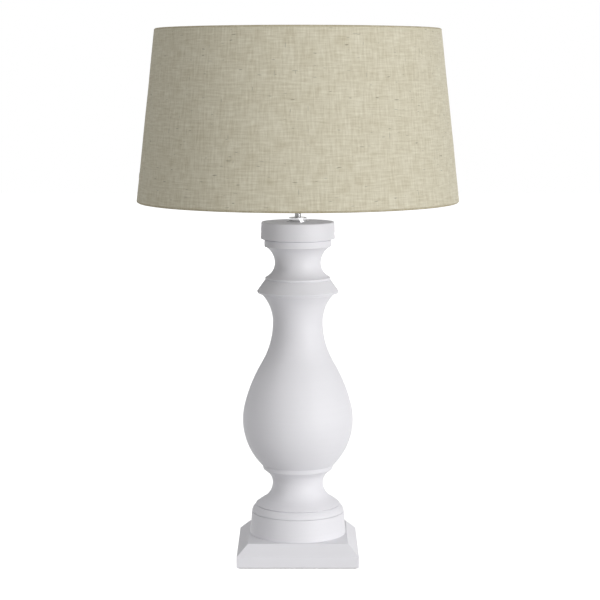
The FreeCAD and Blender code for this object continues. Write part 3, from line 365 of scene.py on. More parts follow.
def make_finishes(sizes, finishes):
    """Make every finish of the lamp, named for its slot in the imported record."""
    plating, plastic, pitch = finishes.plating, finishes.plastic, sizes.weave_pitch
    light, dark = finishes.linen_light, finishes.linen_dark
    pressed_felt("felt", finishes.felt)
    painted_wood("white_paint", finishes.paint, finishes.paint_roughness)
    moulded("bush_plastic", shaded(plastic, 0.95), 0.55, grain=0.00002)
    bright_metal("chrome", plating, 0.15, lines=0.000001)
    bright_metal("zinc_steel", shaded(plating, 0.78), 0.38, lines=0.000004)
    moulded("porcelain", (0.84, 0.83, 0.79), 0.62, grain=0.00003)
    bright_metal("brass", finishes.brass, 0.24, lines=0.000003)
    moulded("white_plastic", plastic, 0.36)
    moulded("white_enamel", shaded(plastic, 1.02), 0.28, grain=0.000014, Coat_Weight=0.2)
    moulded("lining_film", finishes.lining, 0.6, grain=0.00002)
    linen("linen", light, dark, pitch)
    # painted shade: the rolled edges and hems take darker linen for the shade along the shade's
    # rims
    linen("linen_edge", light, dark, pitch, painted_shade_shift=-0.36)
    linen("slub", shaded(light, 0.62), shaded(dark, 0.62), pitch * 0.4)
    bright_metal("solder", (0.66,) * 3, 0.42)
    moulded("cap_glass", (0.02, 0.02, 0.022), 0.16, grain=0.000008)
    bright_metal("bulb_cap_metal", shaded(plating, 0.92), 0.26, lines=0.000002)
    clear_glass("clear_glass")
    phosphor_coat("phosphor", finishes.phosphor)
    bright_metal("frame_wire", shaded(plating, 0.85), 0.3)


# --- outlines ---
def outline_of(node, upright=None):
    """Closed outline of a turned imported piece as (radius, height) pairs, read along its seam.

    upright turns and moves the piece so that its axis becomes +Z through the origin.
    """
    mesh = bmesh.new()
    mesh.from_mesh(frame["nodes"][node].data)
    if upright is not None:
        mesh.transform(upright)
    bmesh.ops.remove_doubles(mesh, verts=mesh.verts, dist=2e-6)
    near = 3e-6
    seam = {v for v in mesh.verts if abs(v.co.y) < near and v.co.x > -near}
    beside = {v: [e.other_vert(v) for e in v.link_edges if e.other_vert(v) in seam] for v in seam}
    ends = [v for v in seam if len(beside[v]) == 1]
    here = min(ends or seam, key=lambda v: (v.co.z, v.co.x))
    walk, passed = [], set()
    while here is not None:
        walk.append((max(here.co.x, 0.0), here.co.z))
        passed.add(here)
        onward = [v for v in beside[here] if v not in passed]
        here = min(onward, key=lambda v: (v.co - here.co).length) if onward else None
    mesh.free()
    if len(walk) < len(seam) * 0.8:
        raise RuntimeError(f"{node}: its seam isn't one line")
    if ends:
        walk = [(0.0, walk[0][1])] + walk + [(0.0, walk[-1][1])]
        walk = [p for i, p in enumerate(walk) if i == 0 or math.dist(p, walk[i - 1]) > 1e-6]
    return walk, not ends


def rounded(outline, radius, closed=True, steps=3, least_turn=12.0):
    """Round every real corner of an outline, and hold the flats beside it with a point each."""
    points = [Vector(p) for p in outline]
    result = []
    for i, point in enumerate(points):
        back, ahead = points[i - 1] - point, points[(i + 1) % len(points)] - point
        turn = math.pi - back.angle(ahead)
        loose_end = not closed and i in (0, len(points) - 1)
        if loose_end or turn < math.radians(least_turn):
            result.append(point)
            continue
        reach = min(radius * math.tan(turn / 2), back.length * 0.4, ahead.length * 0.4)
        start, finish = point + back.normalized() * reach, point + ahead.normalized() * reach
        hold = min(reach * 0.6, back.length * 0.05)
        result.append(start + back.normalized() * hold)
        for step in range(steps + 1):
            t = step / steps
            result.append(start * (1 - t) ** 2 + point * (2 * t * (1 - t)) + finish * t ** 2)
        hold = min(reach * 0.6, ahead.length * 0.05)
        result.append(finish + ahead.normalized() * hold)
    return result


def quirked(outline, depth, least_turn=25.0):
    """Cut a fine line into every inner corner of a closed outline: a V, or a slot below a ledge."""
    points = [Vector(p) for p in outline]
    turning = sum(a.x * b.y - b.x * a.y for a, b in zip(points, points[1:] + points[:1]))
    result = []
    for i, point in enumerate(points):
        back, ahead = points[i - 1] - point, points[(i + 1) % len(points)] - point
        turn = math.pi - back.angle(ahead)
        inner = (ahead.x * back.y - back.x * ahead.y) * turning < 0
        if not inner or turn < math.radians(least_turn):
            result.append(point)
            continue
        reach = min(depth, back.length * 0.3, ahead.length * 0.3)
        face, level = back.normalized(), ahead.normalized()
        if back.y < 0 and level.x > 0.99 and ahead.x > depth * 2:
            slot = point - level * (depth * 2)
            result += [point + face * (reach * 1.4), slot + face * reach, slot]
        else:
            deep = point - (face + level).normalized() * depth
            result += [point + face * reach, deep, point + level * reach]
    return result


def stepped(outline, longest, closed=True, low=-1.0, high=9.0):
    """Split the stretches between two levels so that none is longer than longest."""
    result = []
    count = len(outline)
    for i in range(count if closed else count - 1):
        start, finish = Vector(outline[i]), Vector(outline[(i + 1) % count])
        result.append(start)
        if min(start.y, finish.y) > high or max(start.y, finish.y) < low:
            continue
        pieces = math.ceil((finish - start).length / longest)
        result += [start.lerp(finish, k / pieces) for k in range(1, pieces)]
    if not closed:
        result.append(outline[-1])
    return result


# --- meshes ---
def smoothed(mesh, sharp=40.0):
    """Smooth a mesh, but for edges that turn by more than sharp degrees."""
    mesh.shade_smooth()
    mesh.set_sharp_from_angle(angle=math.radians(sharp))
    return mesh


def joined(mesh, reach):
    """Merge points that are closer than reach, and turn the faces outwards."""
    body = bmesh.new()
    body.from_mesh(mesh)
    bmesh.ops.remove_doubles(body, verts=body.verts, dist=reach)
    bmesh.ops.recalc_face_normals(body, faces=body.faces)
    body.to_mesh(mesh)
    body.free()
    return mesh


def sealed(vertices, faces, uvs=None):
    """A closed, outward mesh with smooth faces, from plain lists."""
    mesh = bpy.data.meshes.new("piece")
    mesh.from_pydata(vertices, [], faces)
    if uvs is not None:
        layer = mesh.uv_layers.new(name="metres")
        layer.data.foreach_set("uv", np.asarray(uvs, float).ravel())
    return smoothed(joined(mesh, 1e-7), EDGE_TURN)


def spun(outline, sides, closed=True, start=0.0, sweep=TAU):
    """An outline turned about +Z. Its UV map holds metres: round at the mean radius, and along."""
    whole = abs(sweep - TAU) < 1e-9
    columns = sides if whole else sides + 1
    angles = start + sweep * np.arange(columns) / sides
    radius, height = np.array([tuple(p) for p in outline]).T
    x, y = np.outer(radius, np.cos(angles)), np.outer(radius, np.sin(angles))
    vertices = np.stack([x, y, np.repeat(height[:, None], columns, 1)], axis=2).reshape(-1, 3)
    rings = len(outline)
    low = np.arange(rings if closed else rings - 1)
    high = (low + 1) % rings
    left = np.arange(sides)
    right = (left + 1) % columns
    low, high = low[:, None] * columns, high[:, None] * columns
    faces = np.stack([low + left, low + right, high + right, high + left], axis=2)
    faces = faces.reshape(-1, 4).tolist()
    mean = float(radius.max() + radius.min()) / 2
    lengths = np.hypot(np.diff(radius, append=radius[0]), np.diff(height, append=height[0]))
    travelled = np.concatenate([[0], np.cumsum(lengths)])[:len(low) + 1]
    u, v = np.meshgrid(np.arange(sides + 1) * (sweep * mean / sides), travelled)
    near, far = slice(None, -1), slice(1, None)
    cells = (near, near), (near, far), (far, far), (far, near)
    uvs = np.stack([grid[cell] for cell in cells for grid in (u, v)], axis=2)
    uvs = uvs.reshape(-1, 2).tolist()
    if not whole and closed:
        for column in (0, columns - 1):
            faces.append([ring * columns + column for ring in range(rings)])
            uvs += [(p[0], p[1]) for p in outline]
    return sealed(vertices.tolist(), faces, uvs)


def squared(outline, corner, side_steps=1, corner_steps=4):
    """An outline of (half width, height) swept round a square with rounded corners, and capped."""
    angles = [step / corner_steps * math.pi / 2 for step in range(corner_steps + 1)]
    vertices = []
    for half, height in outline:
        flat = half - corner
        near = min(flat - corner * 2, flat * 0.98)
        ring = [Vector((half, -near + 2 * near * k / side_steps)) for k in range(side_steps + 1)]
        ring += [Vector((flat + corner * math.cos(a), flat + corner * math.sin(a))) for a in angles]
        for quarter in range(4):
            turn = Matrix.Rotation(quarter * math.pi / 2, 2)
            vertices += [(*(turn @ point), height) for point in ring]
    count = len(vertices) // len(outline)
    faces = []
    for low in range(0, len(vertices) - count, count):
        for k in range(count):
            after = (k + 1) % count
            faces.append([low + k, low + after, low + count + after, low + count + k])
    faces += [list(range(count)), list(range(len(vertices) - count, len(vertices)))]
    return sealed(vertices, faces)


def disturbed(mesh, depth, scale, direction, seed):
    """Move points by smooth noise; direction gives the way to move from a point's place."""
    offset = Vector((seed * 13.7, seed * 5.1, seed * 9.3))
    for vertex in mesh.vertices:
        place = vertex.co.copy()
        vertex.co = place + direction(place) * (noise.noise(place * scale + offset) * depth)


def outwards(place):
    """The level direction away from the lamp's axis."""
    return Vector((place.x, place.y, 0)).normalized()


def corner_outline(node):
    """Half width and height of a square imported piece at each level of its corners, from below."""
    corners = [v.co for v in frame["nodes"][node].data.vertices if v.co.x > 0]
    corners = {(round(p.x, 6), round(p.y, 6), round(p.z, 6)) for p in corners}
    return sorted(((x, z) for x, y, z in corners if abs(x - y) < 5e-6), key=lambda p: p[1])


def softened(node):
    """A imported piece's own mesh with its points merged and its round faces smooth."""
    return smoothed(joined(frame["nodes"][node].data.copy(), 1e-6))


def show(name, mesh, slot, body, replaces=(), record_slot=None):
    """Put a mesh into the scene with its finish, under its body, and hide the imported pieces that
    it replaces.
    """
    piece = placed(name, mesh)
    mesh.name = name
    mesh.materials.clear()
    mesh.materials.append(MADE_FINISHES[slot])
    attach(piece, body)
    record_slot or slot
    if replaces:
        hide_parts(*replaces)
    return piece


def keep(*nodes):
    """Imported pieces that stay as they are, with the finish of their slot."""
    slots = {part["node"]: part["material_slot"] for part in frame["record"]["subparts"]}
    for node in nodes:
        piece = frame["nodes"][node]
        if not piece.material_slots:
            piece.data.materials.append(None)
        for place in piece.material_slots:
            place.material = MADE_FINISHES[slots[node]]


def bored(mesh, radius, start, finish):
    """Cut a round hole between two points."""
    start, finish = Vector(start), Vector(finish)
    drill_mesh = bpy.data.meshes.new("drill")
    body = bmesh.new()
    bmesh.ops.create_cone(
        body, cap_ends=True, segments=48, radius1=radius, radius2=radius,
        depth=(finish - start).length,
    )
    turn = (finish - start).to_track_quat("Z", "Y").to_matrix().to_4x4()
    body.transform(Matrix.Translation((start + finish) / 2) @ turn)
    body.to_mesh(drill_mesh)
    body.free()
    target, drill = placed("target", mesh), placed("drill", drill_mesh)
    cut = target.modifiers.new("bore", "BOOLEAN")
    cut.operation, cut.solver, cut.object = "DIFFERENCE", "EXACT", drill
    result = baked(target)
    for item in (target, drill):
        bpy.data.objects.remove(item)
    result.set_sharp_from_angle(angle=math.radians(EDGE_TURN))
    return result


# --- trees that repeat or follow a rule ---
def new_tree(name, inputs):
    """A geometry tree with named inputs; gives the tree and the wires of its inputs."""
    tree = bpy.data.node_groups.new(name, "GeometryNodeTree")
    tree.is_modifier = True

    def socket(label, kind, way="INPUT"):
        return tree.interface.new_socket(name=label, in_out=way, socket_type=f"NodeSocket{kind}")

    socket("Geometry", "Geometry")
    for label, value in inputs.items():
        socket(label, "Int" if isinstance(value, int) else "Float").default_value = value
    socket("Material", "Material")
    socket("Geometry", "Geometry", "OUTPUT")
    entry = tree.nodes.new("NodeGroupInput")
    return tree, {place.name: Wire(tree, place) for place in entry.outputs if place.name}


def close_tree(tree, geometry, given):
    """End a tree: instances made real, the material set, the result handed out."""
    real = add(tree, "GeometryNodeRealizeInstances", {"Geometry": geometry})
    inputs = {"Geometry": real, "Material": given["Material"]}
    done = add(tree, "GeometryNodeSetMaterial", inputs)
    feed(tree, done, tree.nodes.new("NodeGroupOutput").inputs[0])


def waves_tree():
    """Waves round the axis: a thread where they climb with the height, flutes where they don't."""
    tree, given = new_tree("waves_round_the_axis", {
        "Turns per Metre": 0.0, "Starts": 1.0, "Depth": 0.001, "Sharpness": 1.0,
        "From": 0.0, "To": 1.0, "Run Out": 0.001, "Least Radius": 0.0,
    })
    x, y, z = parts_of(tree, add(tree, "GeometryNodeInputPosition"))
    radius = (x * x + y * y).math("SQRT")
    turned = y.math("ARCTAN2", x)
    phase = z * given["Turns per Metre"] * TAU - given["Starts"] * turned
    wave = (phase.math("COSINE") * 0.5 + 0.5).math("POWER", given["Sharpness"])
    rise = ((z - given["From"]) / given["Run Out"]).clamped()
    fall = ((given["To"] - z) / given["Run Out"]).clamped()
    cut = wave * rise * fall * given["Depth"] * radius.math("GREATER_THAN", given["Least Radius"])
    inward = cut / radius.math("MAXIMUM", 0.00001) * -1
    inputs = {"Geometry": given["Geometry"], "Offset": vector_of(tree, x * inward, y * inward, 0.0)}
    close_tree(tree, add(tree, "GeometryNodeSetPosition", inputs), given)


def slubs_tree():
    """Thick places in the yarn: slim spindles on the cloth, half of them upright, half level."""
    tree, given = new_tree("slubs_on_the_cloth", {
        "Slubs per Square Metre": 600.0, "Length": 0.012, "Thickness": 0.0003, "Seed": 3,
    })
    scattered = add(tree, "GeometryNodeDistributePointsOnFaces", {
        "Mesh": given["Geometry"], "Density": given["Slubs per Square Metre"],
        "Seed": given["Seed"],
    }, out="Points")
    facing = Wire(tree, scattered.socket.node.outputs["Rotation"])
    x, y, _ = parts_of(tree, add(tree, "GeometryNodeInputPosition"))
    level = vector_of(tree, y * -1, x, 0.0)
    side = vector_of(tree, x * -0.111, y * -0.111, (x * x + y * y).math("SQRT"))
    chance = add(tree, "FunctionNodeRandomValue", {"Seed": given["Seed"] + 1}, out=1)
    ways = {0: chance.math("GREATER_THAN", 0.5), 4: level, 5: side}
    way = add(tree, "ShaderNodeMix", ways, out=1, data_type="VECTOR")
    turn = {"Rotation": facing, "Vector": way}
    lean = add(tree, "FunctionNodeAlignRotationToVector", turn, axis="X")
    spindle = add(tree, "GeometryNodeMeshUVSphere", {"Segments": 6, "Rings": 6, "Radius": 1.0})
    size = add(tree, "FunctionNodeRandomValue", {2: 0.35, 3: 1.0, "Seed": given["Seed"] + 2}, out=1)
    thick = given["Thickness"]
    spindles = add(tree, "GeometryNodeInstanceOnPoints", {
        "Points": scattered, "Instance": spindle, "Rotation": lean,
        "Scale": vector_of(tree, given["Length"] * size * 0.5, thick, thick * 0.7),
    })
    close_tree(tree, spindles, given)


def beads_tree():
    """Weld beads: one uneven drop on each point."""
    tree, given = new_tree("weld_beads", {"Radius": 0.0024, "Seed": 5})
    drop = add(tree, "GeometryNodeMeshIcoSphere", {"Radius": 1.0, "Subdivisions": 3})
    lumps = add(tree, "ShaderNodeTexNoise", {"Scale": 2.2, "Detail": 2.0})
    x, y, z = parts_of(tree, add(tree, "GeometryNodeInputNormal"))
    swell = (lumps - 0.5) * 0.5
    inputs = {"Geometry": drop, "Offset": vector_of(tree, x * swell, y * swell, z * swell)}
    uneven = add(tree, "GeometryNodeSetPosition", inputs)
    inputs = {0: (0, 0, 0), 1: (TAU, TAU, TAU), "Seed": given["Seed"]}
    turn = add(tree, "FunctionNodeRandomValue", inputs, data_type="FLOAT_VECTOR")
    drops = add(tree, "GeometryNodeInstanceOnPoints", {
        "Points": given["Geometry"], "Instance": uneven, "Rotation": turn,
        "Scale": vector_of(tree, *[given["Radius"]] * 3),
    })
    close_tree(tree, drops, given)


def baked(item):
    """The evaluated mesh of an object, whose modifiers are then removed."""
    graph = bpy.context.evaluated_depsgraph_get()
    mesh = bpy.data.meshes.new_from_object(
        item.evaluated_get(graph), preserve_all_data_layers=True, depsgraph=graph
    )
    item.modifiers.clear()
    return mesh


def shaped_by(mesh, tree_name, slot, **inputs):
    """Run a mesh through a tree and give the plain mesh that comes out."""
    tree = bpy.data.node_groups[tree_name]
    item = placed("worked", mesh)
    modifier = item.modifiers.new(tree.name, "NODES")
    modifier.node_group = tree
    places = {s.name: s.identifier for s in tree.interface.items_tree if s.in_out == "INPUT"}
    for label, value in {**inputs, "Material": MADE_FINISHES[slot]}.items():
        modifier[places[label.replace("_", " ")]] = value
    result = baked(item)
    bpy.data.objects.remove(item)
    if not len(result.polygons):
        raise RuntimeError(f"{tree.name} made nothing")
    return smoothed(result)


# --- pieces ---
def edged(node, edge):
    """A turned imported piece's outline with rounded edges, and whether it is closed."""
    outline, closed = outline_of(node)
    return rounded(outline, edge, closed), closed


def respun(node, edge, sides=TURNED_SIDES, **options):
    """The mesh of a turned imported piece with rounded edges, spun afresh."""
    outline, closed = edged(node, edge)
    return spun(outline, sides, closed, **options)


def turned(name, node, slot, body, edge, sides=TURNED_SIDES):
    show(name, respun(node, edge, sides), slot, body, (node,))


def waved(mesh, slot, start, end, depth, sharpness, pitch=None, run_out=0.001, least=0.0, starts=1):
    """Cut waves into a mesh between two levels, as a thread where a pitch is given."""
    return shaped_by(
        mesh, "waves_round_the_axis", slot, Turns_per_Metre=1 / pitch if pitch else 0.0,
        Starts=float(starts), Depth=depth, Sharpness=sharpness, From=start, To=end,
        Run_Out=run_out, Least_Radius=least,
    )


def threaded(name, node, slot, body, edge, pitch, depth, low, high, rows, sides, least=0.0):
    """A turned piece with a right-handed thread between two levels."""
    outline, closed = edged(node, edge)
    mesh = spun(stepped(outline, pitch / rows, closed, low, high), sides, closed)
    mesh = waved(mesh, slot, low, high, depth, 1.3, pitch, pitch * 0.6, least)
    show(name, mesh, slot, body, (node,))


class LampOperator(bpy.types.Operator):
    """Base of the lamp's operators: run() builds, and a failure raises an error."""

    bl_options = {"REGISTER", "UNDO"}

    def execute(self, context):
        self.run(context.scene.lamp_sizes)
        return {"FINISHED"}


class LAMP_OT_stage(LampOperator):
    """Make the camera, the lamps, the pale floor and the finishes"""

    bl_idname = "lamp.stage"
    bl_label = "Stage and Finishes"

    def run(self, sizes):
        stage = bpy.context.scene.lamp_stage
        make_finishes(sizes, bpy.context.scene.lamp_finishes)
        waves_tree()
        slubs_tree()
        beads_tree()
        self.camera(stage)
        self.lamps(stage)
        self.floor(stage)

    def camera(self, stage):
        camera = placed("camera", bpy.data.cameras.new("camera"))
        camera.data.sensor_width = 36.0
        camera.data.lens = stage.lens
        camera.location = (stage.camera_side, -stage.camera_distance, stage.camera_height)
        camera.rotation_euler = (math.pi / 2 - stage.camera_dip, 0, 0)
        bpy.context.scene.camera = camera
        bpy.context.scene.view_settings.view_transform = "Standard"

    def lamps(self, stage):
        for name, power, size, place in (
            ("key_lamp", stage.key_power, (3.4, 1.2), (4.25, -4.15, 0.72)),
            ("fill_lamp", stage.fill_power, (1.4, 1.4), (-1.7, -1.5, 2.5)),
            ("back_lamp", stage.back_power, (3.4, 1.2), (1.4, 5.8, 0.72)),
        ):
            lamp = placed(name, bpy.data.lights.new(name, "AREA"))
            lamp.data.shape = "RECTANGLE"
            lamp.data.size, lamp.data.size_y = size
            lamp.data.energy = power
            lamp.location = place
            aim = Vector((0, 0, 0.5)) - Vector(place)
            lamp.rotation_euler = aim.to_track_quat("-Z", "Y").to_euler()
            lamp.visible_glossy = name != "back_lamp"

        world = bpy.data.worlds.new("studio")
        bpy.context.scene.world = world
        world.use_nodes = True
        tree = world.node_tree
        sideways = parts_of(tree, add(tree, "ShaderNodeTexCoord", out="Object"))[0]
        room = (sideways * stage.room_slope + 1) * stage.room_level
        slope, middle, darkest = 1.1, 0.55, 0.12  # the room as bright metal mirrors it
        mirrored = (sideways * slope + middle).math("MAXIMUM", darkest).math("MINIMUM", 1.0)
        camera, glossy, clear = rays(tree)
        white = camera.math("MAXIMUM", clear)
        level = room + (mirrored - room) * glossy
        level = level + (level * -1 + 1) * white
        feed(tree, level, tree.nodes["Background"].inputs["Strength"])
        tree.nodes["Background"].inputs["Color"].default_value = (1, 1, 1, 1)

    def floor(self, stage):
        mesh = bpy.data.meshes.new("floor")
        reach, level = 9.0, -0.00005
        ends = (-1, -1), (1, -1), (1, 1), (-1, 1)
        mesh.from_pydata([(x * reach, y * reach, level) for x, y in ends], [], [(0, 1, 2, 3)])
        finish = Finish("pale_floor", (0.62,) * 3, 0.9, Specular_IOR_Level=0.1)
        finish.tint((0.61,) * 3, (0.63,) * 3, finish.noise(finish.place(30)))
        tree = finish.tree
        camera, glossy, clear = rays(tree)
        strength = (camera + glossy + clear).clamped() * stage.floor_glow
        glow = add(tree, "ShaderNodeEmission", {"Color": (1, 1, 1, 1), "Strength": strength})
        matt = Wire(tree, finish.surface.outputs[0])
        both = add(tree, "ShaderNodeAddShader", {0: matt, 1: glow})
        feed(tree, both, tree.nodes["Material Output"].inputs["Surface"])
        mesh.materials.append(finish.material)
        placed("floor", mesh)


class LAMP_OT_plinth(LampOperator):
    """Make the square plinth, the felt under it and the bush for the lead"""

    bl_idname = "lamp.plinth"
    bl_label = "Plinth, Felt and Bush"

    def run(self, sizes):
        corners = corner_outline("plinth")
        half, foot, top = corners[1][0], corners[0][1], corners[-1][1]
        field = 0.058  # half the width of the flat in which the upright holes are cut
        outline = rounded([(field, foot), *corners, (field, top)], sizes.paint_edge, closed=False)
        block = squared(outline, sizes.paint_edge)
        recess_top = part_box("bottom_washer")[1].z
        block = bored(block, sizes.recess_radius, (0, 0, 0), (0, 0, recess_top))
        block = bored(block, sizes.tube_bore, (0, 0, 0), (0, 0, top + 0.01))
        bush_low, bush_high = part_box("cable_bush")
        level = (bush_low.z + bush_high.z) / 2
        block = bored(block, sizes.bush_bore, (0, 0.01, level), (0, half + 0.01, level))
        show("square_plinth", block, "white_paint", "stand", ("plinth",))

        low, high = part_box("felt_pad")
        inner, rim = 0.04, 0.003  # half the width of its flat, and the width of its rough edge
        outline = [(inner, low.z), (high.x, low.z), (high.x, high.z), (inner, high.z)]
        outline = stepped(rounded(outline, 0.0005, closed=False), 0.0008, closed=False)
        outline = [p for p in outline if p[0] > high.x - rim or p[0] < inner + 0.0001]
        pad = squared(outline, 0.0016, side_steps=160)
        disturbed(
            pad, 0.0009, 420,
            lambda p: outwards(p) if max(abs(p.x), abs(p.y)) > high.x - 0.002 else Vector(), 2,
        )
        show("felt_sheet", pad, "felt", "stand", ("felt_pad",))

        upright = Matrix.Rotation(math.pi / 2, 4, "X") @ Matrix.Translation((0, -half, -level))
        outline, closed = outline_of("cable_bush", upright)
        bush = spun(rounded(outline, sizes.plastic_edge, closed), 96, closed)
        bush.transform(upright.inverted())
        show("flanged_bush", bush, "bush_plastic", "stand", ("cable_bush",))


class LAMP_OT_column(LampOperator):
    """Make the turned column"""

    bl_idname = "lamp.column"
    bl_label = "Turned Column"

    def run(self, sizes):
        outline, closed = outline_of("column")
        body = rounded(quirked(outline, sizes.quirk), sizes.paint_edge, closed)
        show("turned_column", spun(body, 256, closed), "white_paint", "stand", ("column",))


class LAMP_OT_fasteners(LampOperator):
    """Make the threaded tube and what is screwed on it"""

    bl_idname = "lamp.fasteners"
    bl_label = "Tube, Washers and Rings"

    def run(self, sizes):
        turned("neck_disc", "neck_washer", "chrome", "stand", sizes.metal_edge)
        turned("check_ring", "lock_ring", "chrome", "stand", sizes.metal_edge)
        low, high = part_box("tie_tube")
        ring_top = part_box("lock_ring")[1].z
        outline, closed = edged("tie_tube", sizes.metal_edge)
        outside = 0.0045  # between the tube's bore and its thread
        step = sizes.tube_pitch / 8
        outline = stepped(outline, step, closed, ring_top - 0.001, high.z)
        outline = stepped(outline, step, closed, low.z, low.z + 0.012)
        plain = low.z + 0.0125, ring_top - 0.002
        outline = [
            p for p in outline
            if p[0] > outside and not plain[0] < p[1] < plain[1]
            or p[1] < low.z + 0.0005 or p[1] > high.z - 0.0005
        ]
        tube = spun(outline, 48, closed)
        for start, end in ((low.z, low.z + 0.011), (ring_top - 0.001, high.z)):
            tube = waved(
                tube, "chrome", start, end, sizes.tube_depth, 1.0, sizes.tube_pitch,
                sizes.tube_pitch * 0.5, outside,
            )
        show("threaded_tube", tube, "chrome", "stand", ("tie_tube",))
        keep("bottom_washer", "spring_washer", "bottom_nut")


class LAMP_OT_holder(LampOperator):
    """Make the lampholder and its two shade rings"""

    bl_idname = "lamp.holder"
    bl_label = "Lampholder and Shade Rings"

    def run(self, sizes):
        cup = respun("holder_cup", sizes.metal_edge)
        low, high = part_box("grub_screw")
        level, gap = (low.z + high.z) / 2, 0.00004
        cup = bored(cup, (high.x - low.x) / 2 + gap, (0, 0.0055, level), (0, 0.012, level))
        show("holder_cap", cup, "chrome", "stand", ("holder_cup",))

        low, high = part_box("holder_sleeve")
        threaded(
            "threaded_sleeve", "holder_sleeve", "white_plastic", "stand", sizes.plastic_edge,
            sizes.sleeve_pitch, sizes.sleeve_depth, low.z + 0.001, high.z - 0.0012, 10, 120,
            least=high.x - 0.0004,
        )
        low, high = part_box("screw_shell")
        threaded(
            "rolled_shell", "screw_shell", "brass", "stand", 0.0001,
            sizes.cap_pitch, sizes.cap_depth, low.z + 0.003, high.z - 0.001, 12, 96,
        )
        for side, body in (("lower", "stand"), ("upper", "shade_ring")):
            self.clamp_ring(f"{side}_clamp_ring", f"{side}_shade_ring", body, sizes)
        keep(
            "grub_screw", "holder_insert", "centre_contact", "terminal_screw_live",
            "terminal_screw_neutral",
        )

    def clamp_ring(self, name, node, body, sizes):
        low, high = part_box(node)
        ring = respun(node, sizes.plastic_edge * 1.6, sizes.grip_count * 8)
        ring = waved(
            ring, "white_plastic", low.z - 1, high.z + 1, sizes.grip_depth, 2.5,
            least=high.x - 0.0012, starts=sizes.grip_count,
        )
        show(name, ring, "white_plastic", body, (node,))


class LAMP_OT_frame(LampOperator):
    """Make the shade's fitter, arms and wire rings"""

    bl_idname = "lamp.frame"
    bl_label = "Shade Frame"

    def run(self, sizes):
        turned("fitter_ring", "shade_fitter", "white_enamel", "shade", sizes.metal_edge)
        for name, node in (("low_wire", "bottom_wire_ring"), ("high_wire", "top_wire_ring")):
            outline, closed = outline_of(node)
            show(name, spun(outline, SHADE_SIDES, closed), "white_enamel", "shade", (node,))
        beads = []
        for place in (1, 2, 3):
            node = f"shade_arm_{place}"
            show(f"round_arm_{place}", softened(node), "white_enamel", "shade", (node,))
            beads += self.arm_ends(node)
        points = bpy.data.meshes.new("welds")
        points.from_pydata(beads, [], [])
        welds = shaped_by(points, "weld_beads", "white_enamel", Radius=sizes.weld_radius)
        show("weld_beads", welds, "white_enamel", "shade")

    def arm_ends(self, node):
        """The middle of an arm's inner end and of its outer end."""
        places = [v.co for v in frame["nodes"][node].data.vertices]
        ends = []
        for nearest in (min, max):
            reach = nearest(p.xy.length for p in places)
            near = [p for p in places if abs(p.xy.length - reach) < 0.0012]
            ends.append(tuple(sum(near, Vector()) / len(near)))
        return ends


class LAMP_OT_cover(LampOperator):
    """Make the linen cover, its rolled edges and the lining"""

    bl_idname = "lamp.cover"
    bl_label = "Linen Cover and Lining"

    def run(self, sizes):
        lining_outline, closed = outline_of("shade_lining")
        lining = spun(stepped(lining_outline, 0.012), SHADE_SIDES, closed, start=REAR)
        show("laminate_lining", lining, "lining_film", "shade", ("shade_lining",))

        outline, closed = outline_of("shade_linen")
        cloth = spun(stepped(outline, 0.004), SHADE_SIDES, closed, start=REAR)
        disturbed(cloth, sizes.cloth_ripple, 22, outwards, 1)
        cover = show("linen_cover", cloth, "linen", "shade", ("shade_linen",))

        edges = []
        for name, side, seed in (("low_rolled_edge", "bottom", 4), ("high_rolled_edge", "top", 6)):
            node = f"{side}_rolled_edge"
            roll = respun(node, 0.002, SHADE_SIDES * 2, start=REAR)
            disturbed(roll, 0.00035, 150, outwards, seed)
            # the rims' linen is darkened as painted shade
            edges.append(show(name, roll, "linen_edge", "shade", (node,)))
        edges += self.hems(lining_outline, sizes)
        edges.append(self.rear_seam(sizes))
        edges.append(self.slubs(sizes))
        low, high = self.outer_side()

    def outer_side(self):
        """The lower and the upper outer corner of the cover."""
        outline, _ = outline_of("shade_linen")
        bottom = max(outline, key=lambda p: p[0])
        above = [p for p in outline if p[1] > bottom[1] + 0.1]
        return bottom, max(above, key=lambda p: p[0] * 0.109 + p[1])

    def hems(self, lining, sizes):
        """Linen that is turned in over the lining at both rims."""
        low = min(lining, key=lambda p: p[1] * 9 + p[0])
        high = min(lining, key=lambda p: -p[1] * 9 + p[0])
        along = (Vector(high) - Vector(low)).normalized()
        inward = Vector((-along.y, along.x))
        pieces = []
        for name, corner, way, seed in (("low_hem", low, 1, 8), ("high_hem", high, -1, 9)):
            start = Vector(corner) - along * (way * 0.0018)
            finish = Vector(corner) + along * (way * sizes.hem_width)
            outline = [start, finish, finish + inward * 0.00045, start + inward * 0.0005]
            outline = stepped(rounded(outline, 0.0003), 0.0015)
            hem = spun(outline, SHADE_SIDES * 2, start=REAR)
            disturbed(hem, 0.0003, 180, lambda p: Vector((0, 0, 1)), seed)
            pieces.append(show(name, hem, "linen_edge", "shade"))
        return pieces

    def rear_seam(self, sizes):
        """The overlap of the cover, down the middle of the rear."""
        low, high = (Vector(p) for p in self.outer_side())
        along = (high - low).normalized()
        out = Vector((along.y, -along.x))
        low, high = low + along * 0.001 + out * 0.0001, high - along * 0.001 + out * 0.0001
        cloth = out * 0.0006
        outline = stepped([low, high, high + cloth, low + cloth], 0.006)
        sweep = sizes.seam_width / low.x
        seam = spun(outline, 10, start=REAR - sweep / 2, sweep=sweep)
        disturbed(seam, 0.0002, 60, outwards, 3)
        return show("rear_seam", seam, "linen", "shade")

    def slubs(self, sizes):
        """Thick places in the yarn on the outside of the cover."""
        low, high = self.outer_side()
        side = spun([low, high], 90, closed=False)
        slubs = shaped_by(
            side, "slubs_on_the_cloth", "slub", Slubs_per_Square_Metre=sizes.slub_count,
            Length=sizes.slub_length, Thickness=sizes.slub_thickness, Seed=3,
        )
        return show("linen_slubs", slubs, "slub", "shade", record_slot="linen")


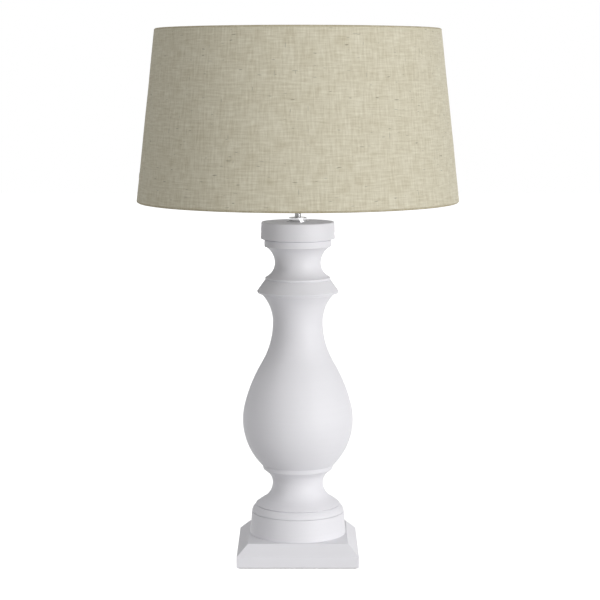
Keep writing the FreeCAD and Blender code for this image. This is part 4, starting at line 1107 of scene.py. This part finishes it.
class LAMP_OT_bulb(LampOperator):
    """Make the bulb"""

    bl_idname = "lamp.bulb"
    bl_label = "Bulb"

    def run(self, sizes):
        low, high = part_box("bulb_cap")
        threaded(
            "rolled_cap", "bulb_cap", "bulb_cap_metal", "bulb", 0.00012,
            sizes.cap_pitch, sizes.cap_depth, low.z + 0.0036, high.z - 0.0042, 12, 96,
        )
        turned("blown_glass", "bulb_glass", "clear_glass", "bulb", 0.0003, sides=96)
        turned("glass_stem", "bulb_stem", "clear_glass", "bulb", 0.0003, sides=64)
        turned("vitreous_cone", "bulb_insulator", "cap_glass", "bulb", 0.0003, sides=64)
        turned("solder_dome", "bulb_tip", "solder", "bulb_foot", 0.0002, sides=64)
        show("coated_filaments", softened("filaments"), "phosphor", "bulb", ("filaments",))
        spider = softened("filament_frame")
        show("filament_spider", spider, "frame_wire", "bulb", ("filament_frame",))


PIECES = (
    LAMP_OT_stage, LAMP_OT_plinth, LAMP_OT_column, LAMP_OT_fasteners, LAMP_OT_holder,
    LAMP_OT_frame, LAMP_OT_cover, LAMP_OT_bulb,
)


class LAMP_PT_pieces(bpy.types.Panel):
    """Lists the lamp's pieces, sizes and finishes."""

    bl_label = "Column Table Lamp"
    bl_idname = "LAMP_PT_pieces"
    bl_space_type = "VIEW_3D"
    bl_region_type = "UI"
    bl_category = "Lamp"

    def draw(self, context):
        for operator in PIECES:
            self.layout.operator(operator.bl_idname)
        for name, group in GROUPS:
            box = self.layout.box()
            for label in group.__annotations__:
                box.prop(getattr(context.scene, name), label)


def register():
    for name, group in GROUPS:
        bpy.utils.register_class(group)
        setattr(bpy.types.Scene, name, PointerProperty(type=group))
    for item in (*PIECES, LAMP_PT_pieces):
        bpy.utils.register_class(item)


def unregister():
    for item in reversed((*PIECES, LAMP_PT_pieces)):
        bpy.utils.unregister_class(item)
    for name, group in reversed(GROUPS):
        delattr(bpy.types.Scene, name)
        bpy.utils.unregister_class(group)


def main():
    register()
    for operator in PIECES:
        group, name = operator.bl_idname.split(".")
        getattr(getattr(bpy.ops, group), name)()
    bpy.context.view_layer.update()


if __name__ == "__main__":
    main()
